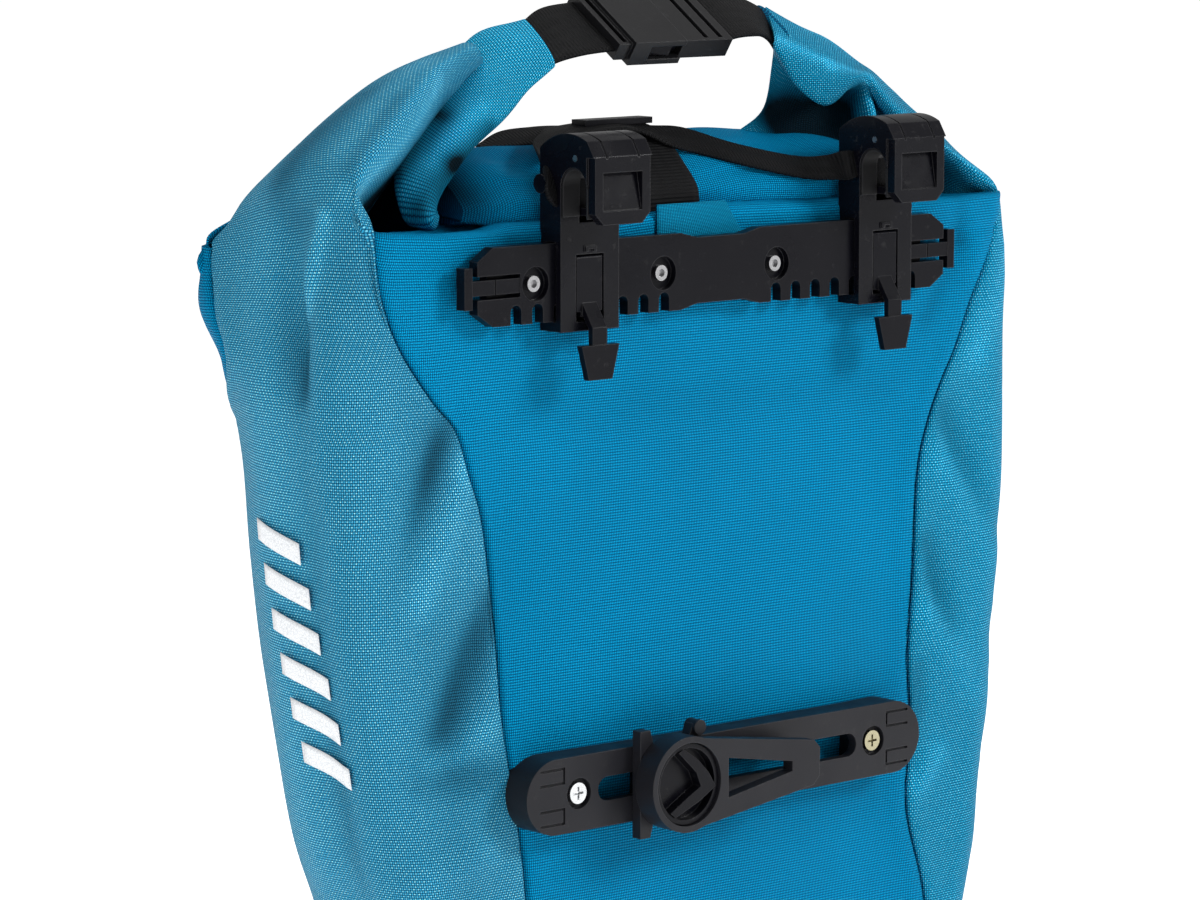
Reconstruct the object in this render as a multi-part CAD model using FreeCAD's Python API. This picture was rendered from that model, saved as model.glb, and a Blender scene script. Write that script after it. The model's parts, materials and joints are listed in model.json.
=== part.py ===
import FreeCAD, Part

import math
import os

from FreeCAD import Vector

# Roll-top bicycle pannier bag, millimetres.
# The row frame has its origin under the middle of the bag: +Z up, the rack side faces -Y.
# Hardware on the rack side is drawn in the rail frame: origin at the middle of the rail,
# on its front plane, X to the right, Y into the bag, Z up.

# ---------------------------------------------------------------- driving dimensions
fabric_thickness = 1.5
hem_height = 418.0
base_turn_up = 22.0
back_face_y = -50.0
back_corner_radius = 25.0
# height, half width, front face y, front corner radius of the filled bag
bag_stations = [
    (0.0, 166.0, 76.0, 48.0),
    (90.0, 184.0, 86.0, 58.0),
    (200.0, 206.0, 89.0, 62.0),
    (320.0, 216.0, 87.0, 56.0),
    (hem_height, 207.0, 78.0, 30.0),
]
front_seam_x = 150.0
# back seam, right half: x and height from the hem to the base
back_seam = [(209.0, hem_height + 1), (172.0, 358.0), (146.0, 300.0), (133.0, 215.0), (124.0, 110.0),
             (118.0, base_turn_up - 1)]

rail_centre_z = 390.0
rail_front_y = -61.0
rail_half_height = 18.0
rail_half_length = 147.5
rail_thickness = 11.0
rail_flange = 6.0
rail_web_half_height = 11.0
notch_width = 6.5
notch_top = -9.0
notch_pitch = 12.8
first_notch = 35.5
notches_per_side = 8
rail_screw_x = (36.0, 113.5)
rail_counterbore_radius = 7.9
m4_radius = 2.0
m4_head_radius = 3.7

hook_centres = {"left": -84.4, "right": 104.0}
tooth_offsets = {"left": -2.3, "right": -4.5}
hook_half_width = 17.5
tube_radius = 8.0
insert_wall = 1.0
tube_y = -13.0
tube_z = 44.0
pin_z = 57.3
pin_radius = 1.5
running_clearance = 0.05
gap = 0.35

bar_z = -237.3
bar_front = -8.0
bar_half_length = 126.0
bar_radius = 17.8
bar_slot_half = (83.0, 5.7)
bar_screw_x = 94.5
m5_radius = 2.5
m5_head_radius = 5.0
pivot_x = -42.8
ring_radius = 22.75
cup_radius = 19.75
arm_length = 83.5
arm_tip_half_height = 11.0
hook_front = -27.0

webbing_width = 38.0
webbing_thickness = 2.0
arch_y = -11.0
arch_tilt = 34.0
strap_x = -19.0
strap_half_width = 18.0
arch_left = (-71.0, 499.0)
arch_right = (77.0, 504.0)
turn_left = (-146.0, 431.0)
turn_right = (146.0, 431.0)
buckle_span = (-36.5, 34.5)
buckle_z = 503.0
bundle_y = -16.0
bundle_z = 436.0
bundle_half_length = 128.0
bundle_half_width = 30.0
bundle_radius = 17.0
roll_wall = 4.0
mark_bars = 6
mark_foot = 160.0
mark_pitch = 21.0
mark_y = -36.0

parts = {}


# ---------------------------------------------------------------- helpers
def box(x0, x1, y0, y1, z0, z1):
    return Part.makeBox(x1 - x0, y1 - y0, z1 - z0, Vector(x0, y0, z0))


def rod_x(y, z, radius, x0, x1):
    return Part.makeCylinder(radius, x1 - x0, Vector(x0, y, z), Vector(1, 0, 0))


def rod_y(x, z, radius, y0, y1):
    return Part.makeCylinder(radius, y1 - y0, Vector(x, y0, z), Vector(0, 1, 0))


def face_of(points):
    return Part.Face(Part.makePolygon(points + [points[0]]))


def plate_yz(outline, x0, x1):
    """Outline of (y, z) points, extruded along X."""
    return face_of([Vector(x0, y, z) for y, z in outline]).extrude(Vector(x1 - x0, 0, 0))


def plate_xz(outline, y0, y1):
    """Outline of (x, z) points, extruded along Y."""
    return face_of([Vector(x, y0, z) for x, z in outline]).extrude(Vector(0, y1 - y0, 0))


def join(shapes):
    shapes = list(shapes)
    return shapes[0].multiFuse(shapes[1:]).removeSplitter()


def round_bar_xz(half_length, radius, y0, y1, centre_x=0.0, centre_z=0.0):
    """Bar along X with full-round ends."""
    middle = box(centre_x - half_length + radius, centre_x + half_length - radius, y0, y1,
                 centre_z - radius, centre_z + radius)
    ends = [rod_y(centre_x + side * (half_length - radius), centre_z, radius, y0, y1) for side in (-1, 1)]
    return join([middle] + ends)


def on_rail(shape):
    """From the rail frame to the row frame."""
    return shape.translated(Vector(0, rail_front_y, rail_centre_z))


def ribbon(path, thickness, x0, x1):
    """Webbing that follows (y, z) points at its middle, with mitred bends, extruded along X."""
    left, right = [], []
    for index, (y, z) in enumerate(path):
        before = path[max(index - 1, 0)]
        after = path[min(index + 1, len(path) - 1)]
        into = (y - before[0], z - before[1]) if index else (after[0] - y, after[1] - z)
        out = (after[0] - y, after[1] - z) if index < len(path) - 1 else into
        normals = []
        for dy, dz in (into, out):
            length = math.hypot(dy, dz)
            normals.append((-dz / length, dy / length))
        ny = normals[0][0] + normals[1][0]
        nz = normals[0][1] + normals[1][1]
        scale = thickness / 2 / (1 + normals[0][0] * normals[1][0] + normals[0][1] * normals[1][1])
        left.append((y + ny * scale, z + nz * scale))
        right.append((y - ny * scale, z - nz * scale))
    return plate_yz(left + right[::-1], x0, x1)


# ---------------------------------------------------------------- bag shell
def bag_wire(station, inset):
    height, half_width, front_y, front_radius = station
    x = half_width - inset
    y0 = back_face_y + inset
    y1 = front_y - inset
    rb = back_corner_radius - inset
    rf = front_radius - inset
    corners = [(x, y0, rb, -1), (x, y1, rf, 1), (-x, y1, rf, 1), (-x, y0, rb, -1)]
    edges = []
    ends = []
    for cx, cy, r, side_y in corners:
        side_x = 1 if cx > 0 else -1
        on_side = Vector(cx, cy - side_y * r, height)
        on_face = Vector(cx - side_x * r, cy, height)
        bend = r * (1 - math.sqrt(0.5))
        middle = Vector(cx - side_x * bend, cy - side_y * bend, height)
        ends.append((on_face, middle, on_side))
    order = [ends[0], ends[1][::-1], ends[2], ends[3][::-1]]
    for index, (start, middle, end) in enumerate(order):
        edges.append(Part.Arc(start, middle, end).toShape())
        edges.append(Part.makeLine(end, order[(index + 1) % 4][0]))
    return Part.Wire(edges)


def bag_solid(inset):
    return Part.makeLoft([bag_wire(station, inset) for station in bag_stations], True, False)


outer_bag = bag_solid(0.0)
inner_bag = bag_solid(fabric_thickness)
far = 300.0
hollow = inner_bag.common(box(-far, far, -far, far, 2.0, hem_height + 1))
bag_shell = outer_bag.cut(hollow)
base_panel = bag_shell.common(box(-far, far, -far, far, -1, base_turn_up))
wall = bag_shell.common(box(-far, far, -far, far, base_turn_up, hem_height))


def seam_curve(side):
    points = [Vector(side * x, -80, z) for x, z in back_seam]
    curve = Part.BSplineCurve()
    curve.interpolate(points)
    return curve.toShape()


seam_right = seam_curve(1)
seam_left = seam_curve(-1)
seam_top = Part.makeLine(seam_right.Vertexes[0].Point, seam_left.Vertexes[0].Point)
seam_foot = Part.makeLine(seam_right.Vertexes[1].Point, seam_left.Vertexes[1].Point)
back_outline = Part.Face(Part.Wire([seam_right, seam_foot, seam_left, seam_top]))
back_prism = back_outline.extrude(Vector(0, 58, 0))
front_prism = box(-front_seam_x, front_seam_x, 20, far, 0, hem_height + 1)

screw_clearance = []
for x in [side * offset for offset in rail_screw_x for side in (-1, 1)]:
    screw_clearance.append(on_rail(rod_y(x, 0, m4_radius + 0.2, 8, 30)))
for x in (-bar_screw_x, bar_screw_x):
    screw_clearance.append(on_rail(rod_y(x, bar_z, m5_radius + 0.2, 8, 30)))
screw_clearance = Part.makeCompound(screw_clearance)

sides = wall.cut(back_prism).cut(front_prism)
parts["back_panel"] = wall.common(back_prism).cut(screw_clearance)
parts["front_panel"] = wall.common(front_prism)
parts["side_panel_left"] = sides.common(box(-far, 0, -far, far, 0, far * 2))
parts["side_panel_right"] = sides.common(box(0, far, -far, far, 0, far * 2))
parts["base_panel"] = base_panel


# ---------------------------------------------------------------- stiffeners inside
board_front = back_face_y + fabric_thickness + 0.1
board_thickness = 2.0
backing_board = box(-125, 125, board_front, board_front + board_thickness, 125, 408)
parts["backing_board"] = backing_board.cut(screw_clearance)
base_board = box(-135, 135, -44, 55, 2.1, 4.6)
upright = [edge for edge in base_board.Edges if abs(edge.tangentAt(edge.FirstParameter).z) > 0.9]
parts["base_board"] = base_board.makeFillet(20.0, upright)


# ---------------------------------------------------------------- rolled closure
def build_closure():
    half_flat = bundle_half_width - bundle_radius

    def roll(radius, half_length):
        middle = box(-half_length, half_length, bundle_y - half_flat, bundle_y + half_flat,
                     bundle_z - radius, bundle_z + radius)
        edges = [rod_x(bundle_y + side * half_flat, bundle_z, radius, -half_length, half_length)
                 for side in (-1, 1)]
        return join([middle] + edges)

    core = roll(bundle_radius - roll_wall, bundle_half_length + 1)
    parts["roll_bundle"] = roll(bundle_radius, bundle_half_length).cut(core)
    stiffener = box(-120, 120, bundle_y - 20, bundle_y + 20, bundle_z - 0.8, bundle_z + 0.8)
    parts["roll_stiffener"] = stiffener
    # sloping top between the roll and the front panel
    slope = [(9.6, 448.9), (50, 433), (67, 419.2)]
    parts["top_panel"] = ribbon(slope, fabric_thickness, -142, 142)


def roll_end(turn, tip):
    """Flat folded end of the roll: from the bundle out to the turn, then up to the webbing."""
    side = -1 if turn[0] < 0 else 1
    dx = tip[0] - turn[0]
    dz = tip[1] - turn[1]
    length = math.hypot(dx, dz)
    half = 4.0
    nx = -dz / length * half
    nz = dx / length * half
    arm = [(turn[0] + nx, turn[1] + nz), (tip[0] + nx, tip[1] + nz),
           (tip[0] - nx, tip[1] - nz), (turn[0] - nx, turn[1] - nz)]
    y0 = arch_y - webbing_width / 2
    y1 = arch_y + webbing_width / 2
    body = plate_xz(arm, y0, y1)
    fold = rod_y(turn[0], turn[1], half, y0, y1)
    foot_x0 = side * bundle_half_length
    foot = box(min(foot_x0, turn[0]), max(foot_x0, turn[0]), y0, y1, turn[1] - half, turn[1] + half)
    return join([body, fold, foot]).cut(parts["roll_bundle"])


def quad(x0, z0, x1, z1, y0, y1):
    points = [Vector(x0, y0, z0), Vector(x0, y1, z0), Vector(x1, y1, z1), Vector(x1, y0, z1)]
    return Part.makePolygon(points + [points[0]])


def gusset(side, tip_x, tip_z):
    """Hollow ear: the bag's top corner pulled up over the end of the roll."""
    def skin(inset):
        i = inset
        wires = [quad(side * (205 - i), hem_height + 0.3, side * (155 + i), hem_height + 0.3, -44 + i, 74 - i),
                 quad(side * (168 - i), 470 - i, side * (144 + i), 448 + i, -38 + i, 44 - i),
                 quad(tip_x, tip_z + 17 - i, tip_x, tip_z + 7 + i, -29 + i, 9 - i)]
        return Part.makeLoft(wires, True, True)
    return skin(0.0).cut(skin(fabric_thickness))


build_closure()
parts["roll_end_left"] = roll_end(turn_left, arch_left)
parts["roll_end_right"] = roll_end(turn_right, arch_right)
parts["gusset_left"] = gusset(-1, arch_left[0] - 4, arch_left[1])
parts["gusset_right"] = gusset(1, arch_right[0] + 4, arch_right[1])


# ---------------------------------------------------------------- carry arch: webbing and buckle
def tilted(shape):
    """The arch leans its outer face towards the rack side."""
    turned = shape.copy()
    turned.rotate(Vector(0, arch_y, buckle_z), Vector(1, 0, 0), arch_tilt)
    return turned


def build_arch():
    half_w = webbing_width / 2
    x0, x1 = buckle_span
    split = x0 + 40.0
    y0 = arch_y - half_w
    y1 = arch_y + half_w
    z = buckle_z
    half_t = webbing_thickness / 2
    # female half: a flat box with side windows and a slotted tail
    shell = box(x0 + 8, split, y0 - 4, y1 + 4, z - 6.5, z + 6.5)
    tail = box(x0, x0 + 9, y0 - 2, y1 + 2, z - 4.5, z + 4.5)
    female = join([shell, tail]).cut(box(x0 + 11, split + 1, y0 - 0.5, y1 + 0.5, z - 4.0, z + 4.0))
    female = female.cut(box(x0 + 19, split + 1, y0 - 5, y1 + 5, z - 3.6, z + 3.6))
    female = female.cut(box(x0 + 3, x0 + 6, y0 - 0.2, y1 + 0.2, z - 5, z + 5))
    # male half: a tail with a ladder slot, a middle guide and two side prongs
    tail = box(split + 0.4, x1, y0 - 2, y1 + 2, z - 5.0, z + 5.0)
    guide = box(split - 22, split + 1, arch_y - 5, arch_y + 5, z - 3.2, z + 3.2)
    male = join([tail, guide]).cut(box(x1 - 8, x1 - 5, y0 - 0.2, y1 + 0.2, z - 6, z + 6))
    male = male.cut(box(x1 - 17, x1 - 14, y0 - 0.2, y1 + 0.2, z - 6, z + 6))
    for name, side in (("lower", -1), ("upper", 1)):
        root = arch_y + side * (half_w - 3.5)
        outline = [(split - 0.2, -2), (split - 0.2, 2), (x0 + 34.5, 2), (x0 + 33, 6), (x0 + 22.5, 4.5),
                   (x0 + 20, 0), (x0 + 21, -2)]
        points = [Vector(px, root + side * py, z - 3.0) for px, py in outline]
        parts["buckle_prong_" + name] = tilted(face_of(points).extrude(Vector(0, 0, 6.0)))
    parts["buckle_female"] = tilted(female)
    parts["buckle_male"] = tilted(male)
    # webbing: from the roll's ends, looped round the buckle's bars
    left = box(arch_left[0] + 1, x0 + 3, y0, y1, z - half_t, z + half_t)
    right = box(x1 - 4.9, arch_right[0] - 2.5, y0, y1, z - half_t, z + half_t)
    parts["webbing_left"] = tilted(left.cut(box(x0 - 0.05, x0 + 9, y0 - 9, y1 + 9, z - 9, z + 9)))
    parts["webbing_right"] = tilted(right.cut(box(x1 - 9, x1 + 0.3, y0 - 9, y1 + 9, z - 9, z + 9)))


build_arch()
for name in ("roll_end_left", "roll_end_right", "gusset_left", "gusset_right"):
    for web in ("webbing_left", "webbing_right"):
        parts[web] = parts[web].cut(parts[name])


# ---------------------------------------------------------------- straps over the roll
def build_straps():
    half_flat = bundle_half_width - bundle_radius
    radius = bundle_radius + 1.4
    path = [(bundle_y - half_flat - radius, 411.0)]
    for degrees in range(180, 89, -15):
        angle = math.radians(degrees)
        path.append((bundle_y - half_flat + radius * math.cos(angle), bundle_z + radius * math.sin(angle)))
    path += [(bundle_y + half_flat, bundle_z + radius + 0.3), (9.7, 451.6), (51.3, 435.3), (80.6, 419.5), (84.2, 398.0),
             (87.4, 368.0), (89.2, 341.0)]
    parts["compression_strap"] = ribbon(path, 1.8, strap_x - strap_half_width, strap_x + strap_half_width)
    # flat keeper over the strap, behind the roll's crest
    keeper = box(strap_x - 21, strap_x + 21, -10, 0, bundle_z + radius + 1.3, bundle_z + radius + 4.3)
    parts["strap_keeper"] = keeper
    # ladder lock on the front panel
    lock = box(strap_x - 23, strap_x + 23, 88.2, 92.2, 312, 340)
    for foot in (318, 329):
        lock = lock.cut(box(strap_x - 18.3, strap_x + 18.3, 80, 99, foot, foot + 5))
    parts["strap_tensioner"] = lock
    # carry and release webbing from hook to hook
    top = bundle_z + radius + 1.6
    x0 = hook_centres["left"]
    x1 = hook_centres["right"]
    wide = box(x0 - 12.5, x1 - 21, -42, -17, top, top + 1.8)
    folded = box(x1 - 21, x1 + 12.5, -42, -31, top, top + 1.8)
    tabs = [box(x - 12.5, x + 12.5, -43.8, -42, top - 9, top + 1.8) for x in (x0, x1)]
    parts["handle_webbing"] = join([wide, folded] + tabs)


build_straps()


# ---------------------------------------------------------------- rail
def build_rail():
    t = rail_half_height
    half = rail_half_length
    corner = [(half, 12.0), (half - 9.0, t), (25.0, t), (15.0, t - 2.5)]
    outline = corner + [(-x, z) for x, z in corner[::-1]]
    outline += [(-x, -z) for x, z in corner] + [(x, -z) for x, z in corner[::-1]]
    flange = plate_xz(outline, 0, rail_flange)
    web = box(-half + 10, half - 10, rail_flange, rail_thickness, -rail_web_half_height, rail_web_half_height)
    rail = join([flange, web])
    cuts = []
    for side in (-1, 1):
        for index in range(notches_per_side):
            x = side * (first_notch + index * notch_pitch)
            top = notch_top - notch_width / 2
            cuts.append(box(x - notch_width / 2, x + notch_width / 2, -1, rail_flange, -t - 1, top))
            cuts.append(rod_y(x, top, notch_width / 2, -1, rail_flange))
        for x in rail_screw_x:
            cuts.append(rod_y(side * x, 0, rail_counterbore_radius, -1, 3.5))
            cuts.append(rod_y(side * x, 0, m4_radius + 0.1, -1, 20))
        ends = sorted([side * 122.5, side * (half + 2)])
        cuts.append(box(ends[0], ends[1], -1, rail_flange, -5.3, 5.3))
    parts["rail"] = on_rail(rail.cut(Part.makeCompound(cuts)))
    for name, side in (("left", -1), ("right", 1)):
        tongue = sorted([side * 122.6, side * 151.0])
        bar = sorted([side * 150.5, side * 155.0])
        stop = join([box(tongue[0], tongue[1], 0.3, 5.5, -3.4, 3.4), box(bar[0], bar[1], 0, 6, -9.5, 9.5)])
        groove = side * 137.0
        stop = stop.cut(box(groove - 0.4, groove + 0.4, -1, 1.0, -4, 4))
        parts["rail_end_stop_" + name] = on_rail(stop)


def socket_screw(x, z, head_y, head_radius, head_height, shank_radius, end_y):
    head = rod_y(x, z, head_radius, head_y - head_height, head_y)
    socket = rod_y(x, z, head_radius * 0.5, head_y - head_height - 1, head_y - head_height + 1.6)
    return join([head.cut(socket), rod_y(x, z, shank_radius, head_y, end_y)])


def hex_nut(x, z, y0, y1, across_flats, hole_radius):
    corner = across_flats / math.sqrt(3)
    outline = []
    for index in range(6):
        angle = math.radians(60 * index)
        outline.append((x + corner * math.cos(angle), z + corner * math.sin(angle)))
    return plate_xz(outline, y0, y1).cut(rod_y(x, z, hole_radius, y0 - 1, y1 + 1))


def build_rail_fasteners():
    board_back = board_front + board_thickness - rail_front_y
    xs = [side * x for x in rail_screw_x for side in (-1, 1)]
    screws = [socket_screw(x, 0, 3.5, m4_head_radius, 2.2, m4_radius, board_back + 5) for x in xs]
    washers = [rod_y(x, 0, 6.0, board_back, board_back + 1).cut(rod_y(x, 0, m4_radius + 0.1, 0, 30)) for x in xs]
    nuts = [hex_nut(x, 0, board_back + 1, board_back + 4.2, 7.0, m4_radius + 0.02) for x in xs]
    parts["rail_screws"] = on_rail(Part.makeCompound(screws))
    parts["rail_washers"] = on_rail(Part.makeCompound(washers))
    parts["rail_nuts"] = on_rail(Part.makeCompound(nuts))


build_rail()
build_rail_fasteners()


# ---------------------------------------------------------------- rack hooks
def hook_profile(x0, x1, drop=0.0):
    """Side outline of a hook with its domed cap, extruded along X."""
    lines = [(10.7, -22.8), (-4, -22.8), (-4, 27.4), (-27, 27.4), (-27, 58.3)]
    points = [Vector(x0, y, z - drop) for y, z in lines]
    edges = [Part.makeLine(points[i], points[i + 1]) for i in range(len(points) - 1)]
    shoulder = Vector(x0, -22.5, 65.3 - drop)
    back = Vector(x0, 10.7, 61.0 - drop)
    edges.append(Part.makeLine(points[-1], shoulder))
    edges.append(Part.Arc(shoulder, Vector(x0, -7, 68.3 - drop), back).toShape())
    edges.append(Part.makeLine(back, points[0]))
    return Part.Face(Part.Wire(edges)).extrude(Vector(x1 - x0, 0, 0))


def build_hook(name, x, tooth_offset):
    w = hook_half_width
    body = hook_profile(-w, w)
    bore = tube_radius + insert_wall
    cuts = [box(-w - 1, w + 1, tube_y - bore, tube_y + bore, 20, tube_z),
            rod_x(tube_y, tube_z, bore, -w - 1, w + 1),
            box(-w - 1, w + 1, -gap, rail_flange + gap, -rail_half_height - gap, rail_half_height + gap),
            box(-w - 1, w + 1, rail_flange, 11, -rail_web_half_height - gap, rail_web_half_height + gap)]
    for side in (-1, 1):
        edge = sorted([side * (w - 1), side * (w + 1)])
        cuts.append(box(edge[0], edge[1], -30, -22, 20, 58))
        # lower corners of the lip are cut off at 45 degrees
        cuts.append(plate_xz([(side * w, 26), (side * w, 33.4), (side * (w - 7.4), 26)], -30, -22))
        groove = sorted([side * 9.0, side * 10.2])
        cuts.append(hook_profile(groove[0], groove[1]).cut(hook_profile(groove[0] - 1, groove[1] + 1, 0.9)))
    # recess in the lip, with a floor that slopes inwards
    cuts.append(plate_yz([(-28, 33.6), (-25.9, 33.6), (-22.9, 51.0), (-28, 51.0)], -11.8, 11.8))
    # room for the latch behind and over the tube
    cuts.append(box(-6.5, 6.5, -4.5, 9.3, 27, 62))
    cuts.append(box(-6.5, 6.5, -18.2, 9.3, tube_z + bore + 0.5, 62))
    cuts.append(box(-6.5, 6.5, -4, 9.3, 60, 64.3))
    cuts.append(box(-6.5, 6.5, 3, 11, 52, 70))
    cuts.append(rod_x(tube_y - 1, pin_z, 4.0, -9.8, 9.8))
    cuts.append(rod_x(tube_y - 1, pin_z, pin_radius, -w - 1, w + 1))
    # window for the locking tab and its bearing holes
    cuts.append(box(-8.4, 8.4, -5, 0, -18.6, 12.3))
    cuts.append(rod_x(-2.3, 10.3, 1.0 + running_clearance, -9.8, 9.8))
    body = body.cut(Part.makeCompound(cuts))
    arch = box(-3.2, 3.2, -5.2, -4, 13.4, 16.2).cut(box(-1.6, 1.6, -6, -3, 13, 14.8))
    nub = rod_x(6, 45, 4.5, -w - 4.0, -w)
    body = join([body, arch, nub])
    parts["hook_" + name] = on_rail(body.translated(Vector(x, 0, 0)))

    # liner that fits the hook's mouth to the tube
    liner = join([box(-16.8, 16.8, tube_y - bore, tube_y + bore, 30, tube_z),
                  rod_x(tube_y, tube_z, bore, -16.8, 16.8)])
    liner = liner.cut(box(-w, w, tube_y - tube_radius, tube_y + tube_radius, 29, tube_z))
    liner = liner.cut(rod_x(tube_y, tube_z, tube_radius, -w, w))
    liner = liner.cut(box(-7, 7, -9, 0, 20, 49))
    parts["hook_liner_" + name] = on_rail(liner.translated(Vector(x, 0, 0)))

    # latch: boss on the pin, arm over the tube, leg behind it, toe under it, tail out at the back
    boss = rod_x(tube_y - 1, pin_z, 3.5, -6, 6)
    arm = [(-14, 54.2), (-1.8, 54.2), (-1.8, 33.8), (-9.2, 33.8), (-10.5, 32.4), (-9.2, 30.2),
           (1.2, 30.2), (1.2, 55.0), (16.2, 55.0), (16.2, 58.2), (-1, 58.2), (-14, 59.8)]
    latch = join([boss, plate_yz(arm, -6, 6)])
    latch = latch.cut(rod_x(tube_y - 1, pin_z, pin_radius + running_clearance, -7, 7))
    parts["latch_" + name] = on_rail(latch.translated(Vector(x, 0, 0)))
    parts["latch_pin_" + name] = on_rail(rod_x(tube_y - 1, pin_z, pin_radius, x - w - 0.2, x + w + 0.2))
    coil = rod_x(tube_y - 1, pin_z, 3.3, 6.3, 9.5).cut(rod_x(tube_y - 1, pin_z, 2.1, 6, 10))
    parts["latch_spring_" + name] = on_rail(coil.translated(Vector(x, 0, 0)))

    # locking tab: hinge bar, plate in the window, tooth, cranked neck and finger pull
    plate = box(-7.6, 7.6, -3.6, -1.0, -14, 10.3)
    bar = join([rod_x(-2.3, 10.3, 1.3, -7.6, 7.6), rod_x(-2.3, 10.3, 1.0, -9.4, 9.4)])
    neck = plate_yz([(-3.6, -10), (-11, -21), (-11, -31), (-8, -31), (-8, -21.8), (-1.0, -11.8), (-1.0, -10)],
                    -4.3, 4.3)
    pull = plate_xz([(-11.25, -29), (11.25, -29), (7, -45), (-7, -45)], -11.6, -8)
    tooth = box(tooth_offset - 2.8, tooth_offset + 2.8, -1.0, 3.4, -16.4, -11.0)
    heel = box(tooth_offset - 2.8, tooth_offset + 2.8, -3.6, -1.0, -16.4, -13)
    tab = join([plate, bar, neck, pull, tooth, heel])
    parts["lock_tab_" + name] = on_rail(tab.translated(Vector(x, 0, 0)))


for name, x in hook_centres.items():
    build_hook(name, x, tooth_offsets[name])


# ---------------------------------------------------------------- lower bar and swivel hook
def build_lower_bar():
    bar = round_bar_xz(bar_half_length, bar_radius, bar_front, rail_thickness, 0, bar_z)
    cuts = [round_bar_xz(bar_slot_half[0], bar_slot_half[1], bar_front - 1, 0, 0, bar_z),
            box(-86, 86, bar_front + 5, rail_thickness + 1, bar_z - 12, bar_z + 12)]
    for side in (-1, 1):
        x = side * bar_screw_x
        cuts.append(rod_y(x, bar_z, 7.3, bar_front - 1, bar_front + 3.6))
        cuts.append(rod_y(x, bar_z, m5_radius + 0.1, -20, 20))
        # U-shaped grooves near each end
        for dz in (-9.5, 9.5):
            ends = sorted([side * 103.0, side * 118.0])
            block = box(ends[0], ends[1], bar_front - 1, bar_front + 1.2, bar_z + dz - 4, bar_z + dz + 4)
            core = sorted([side * 104.2, side * 119.0])
            block = block.cut(box(core[0], core[1], -20, 0, bar_z + dz - 2.8, bar_z + dz + 2.8))
            cuts.append(block)
    parts["lower_bar"] = on_rail(bar.cut(Part.makeCompound(cuts)))
    board_back = board_front + board_thickness - rail_front_y
    xs = (-bar_screw_x, bar_screw_x)
    screws = []
    for x in xs:
        head = rod_y(x, bar_z, m5_radius * 2, bar_front + 0.6, bar_front + 3.6)
        for size in ((3.0, 0.55), (0.55, 3.0)):
            head = head.cut(box(x - size[0], x + size[0], -20, bar_front + 2.4, bar_z - size[1], bar_z + size[1]))
        screws.append(join([head, rod_y(x, bar_z, m5_radius, bar_front + 3.6, board_back + 6)]))
    nuts = [hex_nut(x, bar_z, board_back, board_back + 4.7, 8.0, m5_radius + 0.02) for x in xs]
    parts["lower_bar_screws"] = on_rail(Part.makeCompound(screws))
    parts["lower_bar_nuts"] = on_rail(Part.makeCompound(nuts))


def build_swivel_hook():
    x = pivot_x
    z = bar_z
    # slider: horned plate in front of the bar, neck through its slot, flange behind
    half_x = 19.2
    half_z = 25.5
    outline = [(x - half_x, z - half_z), (x - half_x + 6, z - half_z), (x - half_x + 8, z - 19),
               (x + half_x - 8, z - 19), (x + half_x - 6, z - half_z), (x + half_x, z - half_z),
               (x + half_x, z + half_z), (x + half_x - 6, z + half_z), (x + half_x - 8, z + 19),
               (x - half_x + 8, z + 19), (x - half_x + 6, z + half_z), (x - half_x, z + half_z)]
    plate = plate_xz(outline, -14.0, bar_front - gap)
    neck = box(x - 7, x + 7, bar_front - 1, bar_front + 5.6, z - 5.3, z + 5.3)
    hub = rod_y(x, z, 8.0, -18.2, -13)
    knob_post = rod_y(x + 16.4, z + 23.5, 3.6, -16.0, bar_front - gap)
    slider = join([plate, neck, hub, knob_post]).cut(rod_y(x, z, 3.0 + running_clearance, -30, 10))
    parts["lower_slider"] = on_rail(slider)
    clamp = box(x - 13, x + 13, bar_front + 5.6, bar_front + 8.6, z - 10.5, z + 10.5)
    parts["slider_clamp_plate"] = on_rail(clamp.cut(rod_y(x, z, 3.0 + running_clearance, -30, 10)))

    # swivel hook: cup ring, tapered arm with a triangular window, inward lip at the tip
    tip = arm_length
    outer = ring_radius
    root = outer - 0.6
    arm = [(x, z - root), (x + tip - 4, z - arm_tip_half_height), (x + tip, z - arm_tip_half_height + 4),
           (x + tip, z + arm_tip_half_height - 4), (x + tip - 4, z + arm_tip_half_height), (x, z + root)]
    hook = join([plate_xz(arm, hook_front, -20.5), rod_y(x, z, outer, hook_front, -14.4)])
    window = [(x + 24.5, z - 9.5), (x + 65.7, z - 2.4), (x + 65.7, z + 2.4), (x + 24.5, z + 9.5)]
    hook = hook.cut(plate_xz(window, hook_front - 1, 0))
    lip = box(x + tip - 6, x + tip, -21, -12, z - 7, z + 7)
    hook = join([hook, lip]).cut(rod_y(x, z, cup_radius, hook_front - 1, -18.2))
    parts["lower_hook"] = on_rail(hook.cut(rod_y(x, z, 8.0 + running_clearance, -30, 0)))

    # clamp knob: a shallow bowl in the cup, with a bent fin to turn it by and a long stud
    bowl = rod_y(x, z, cup_radius - 0.5, hook_front + 1.8, -18.5)
    bowl = bowl.cut(rod_y(x, z, cup_radius - 2.7, hook_front, -20.4))
    fin = [(-3, 17.0), (6, 11), (12.5, 4.5), (17.3, -3), (7, -9), (-8, -15), (-11, -12.5), (1, -5.5), (8, -2),
           (5, 5), (-6, 15.5)]
    fin = plate_xz([(x + dx, z + dz) for dx, dz in fin], hook_front + 1.0, -20.0)
    stud = rod_y(x, z, 3.0, -19, bar_front + 12.5)
    parts["clamp_knob"] = on_rail(join([bowl, fin, stud]))


build_lower_bar()
build_swivel_hook()


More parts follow.
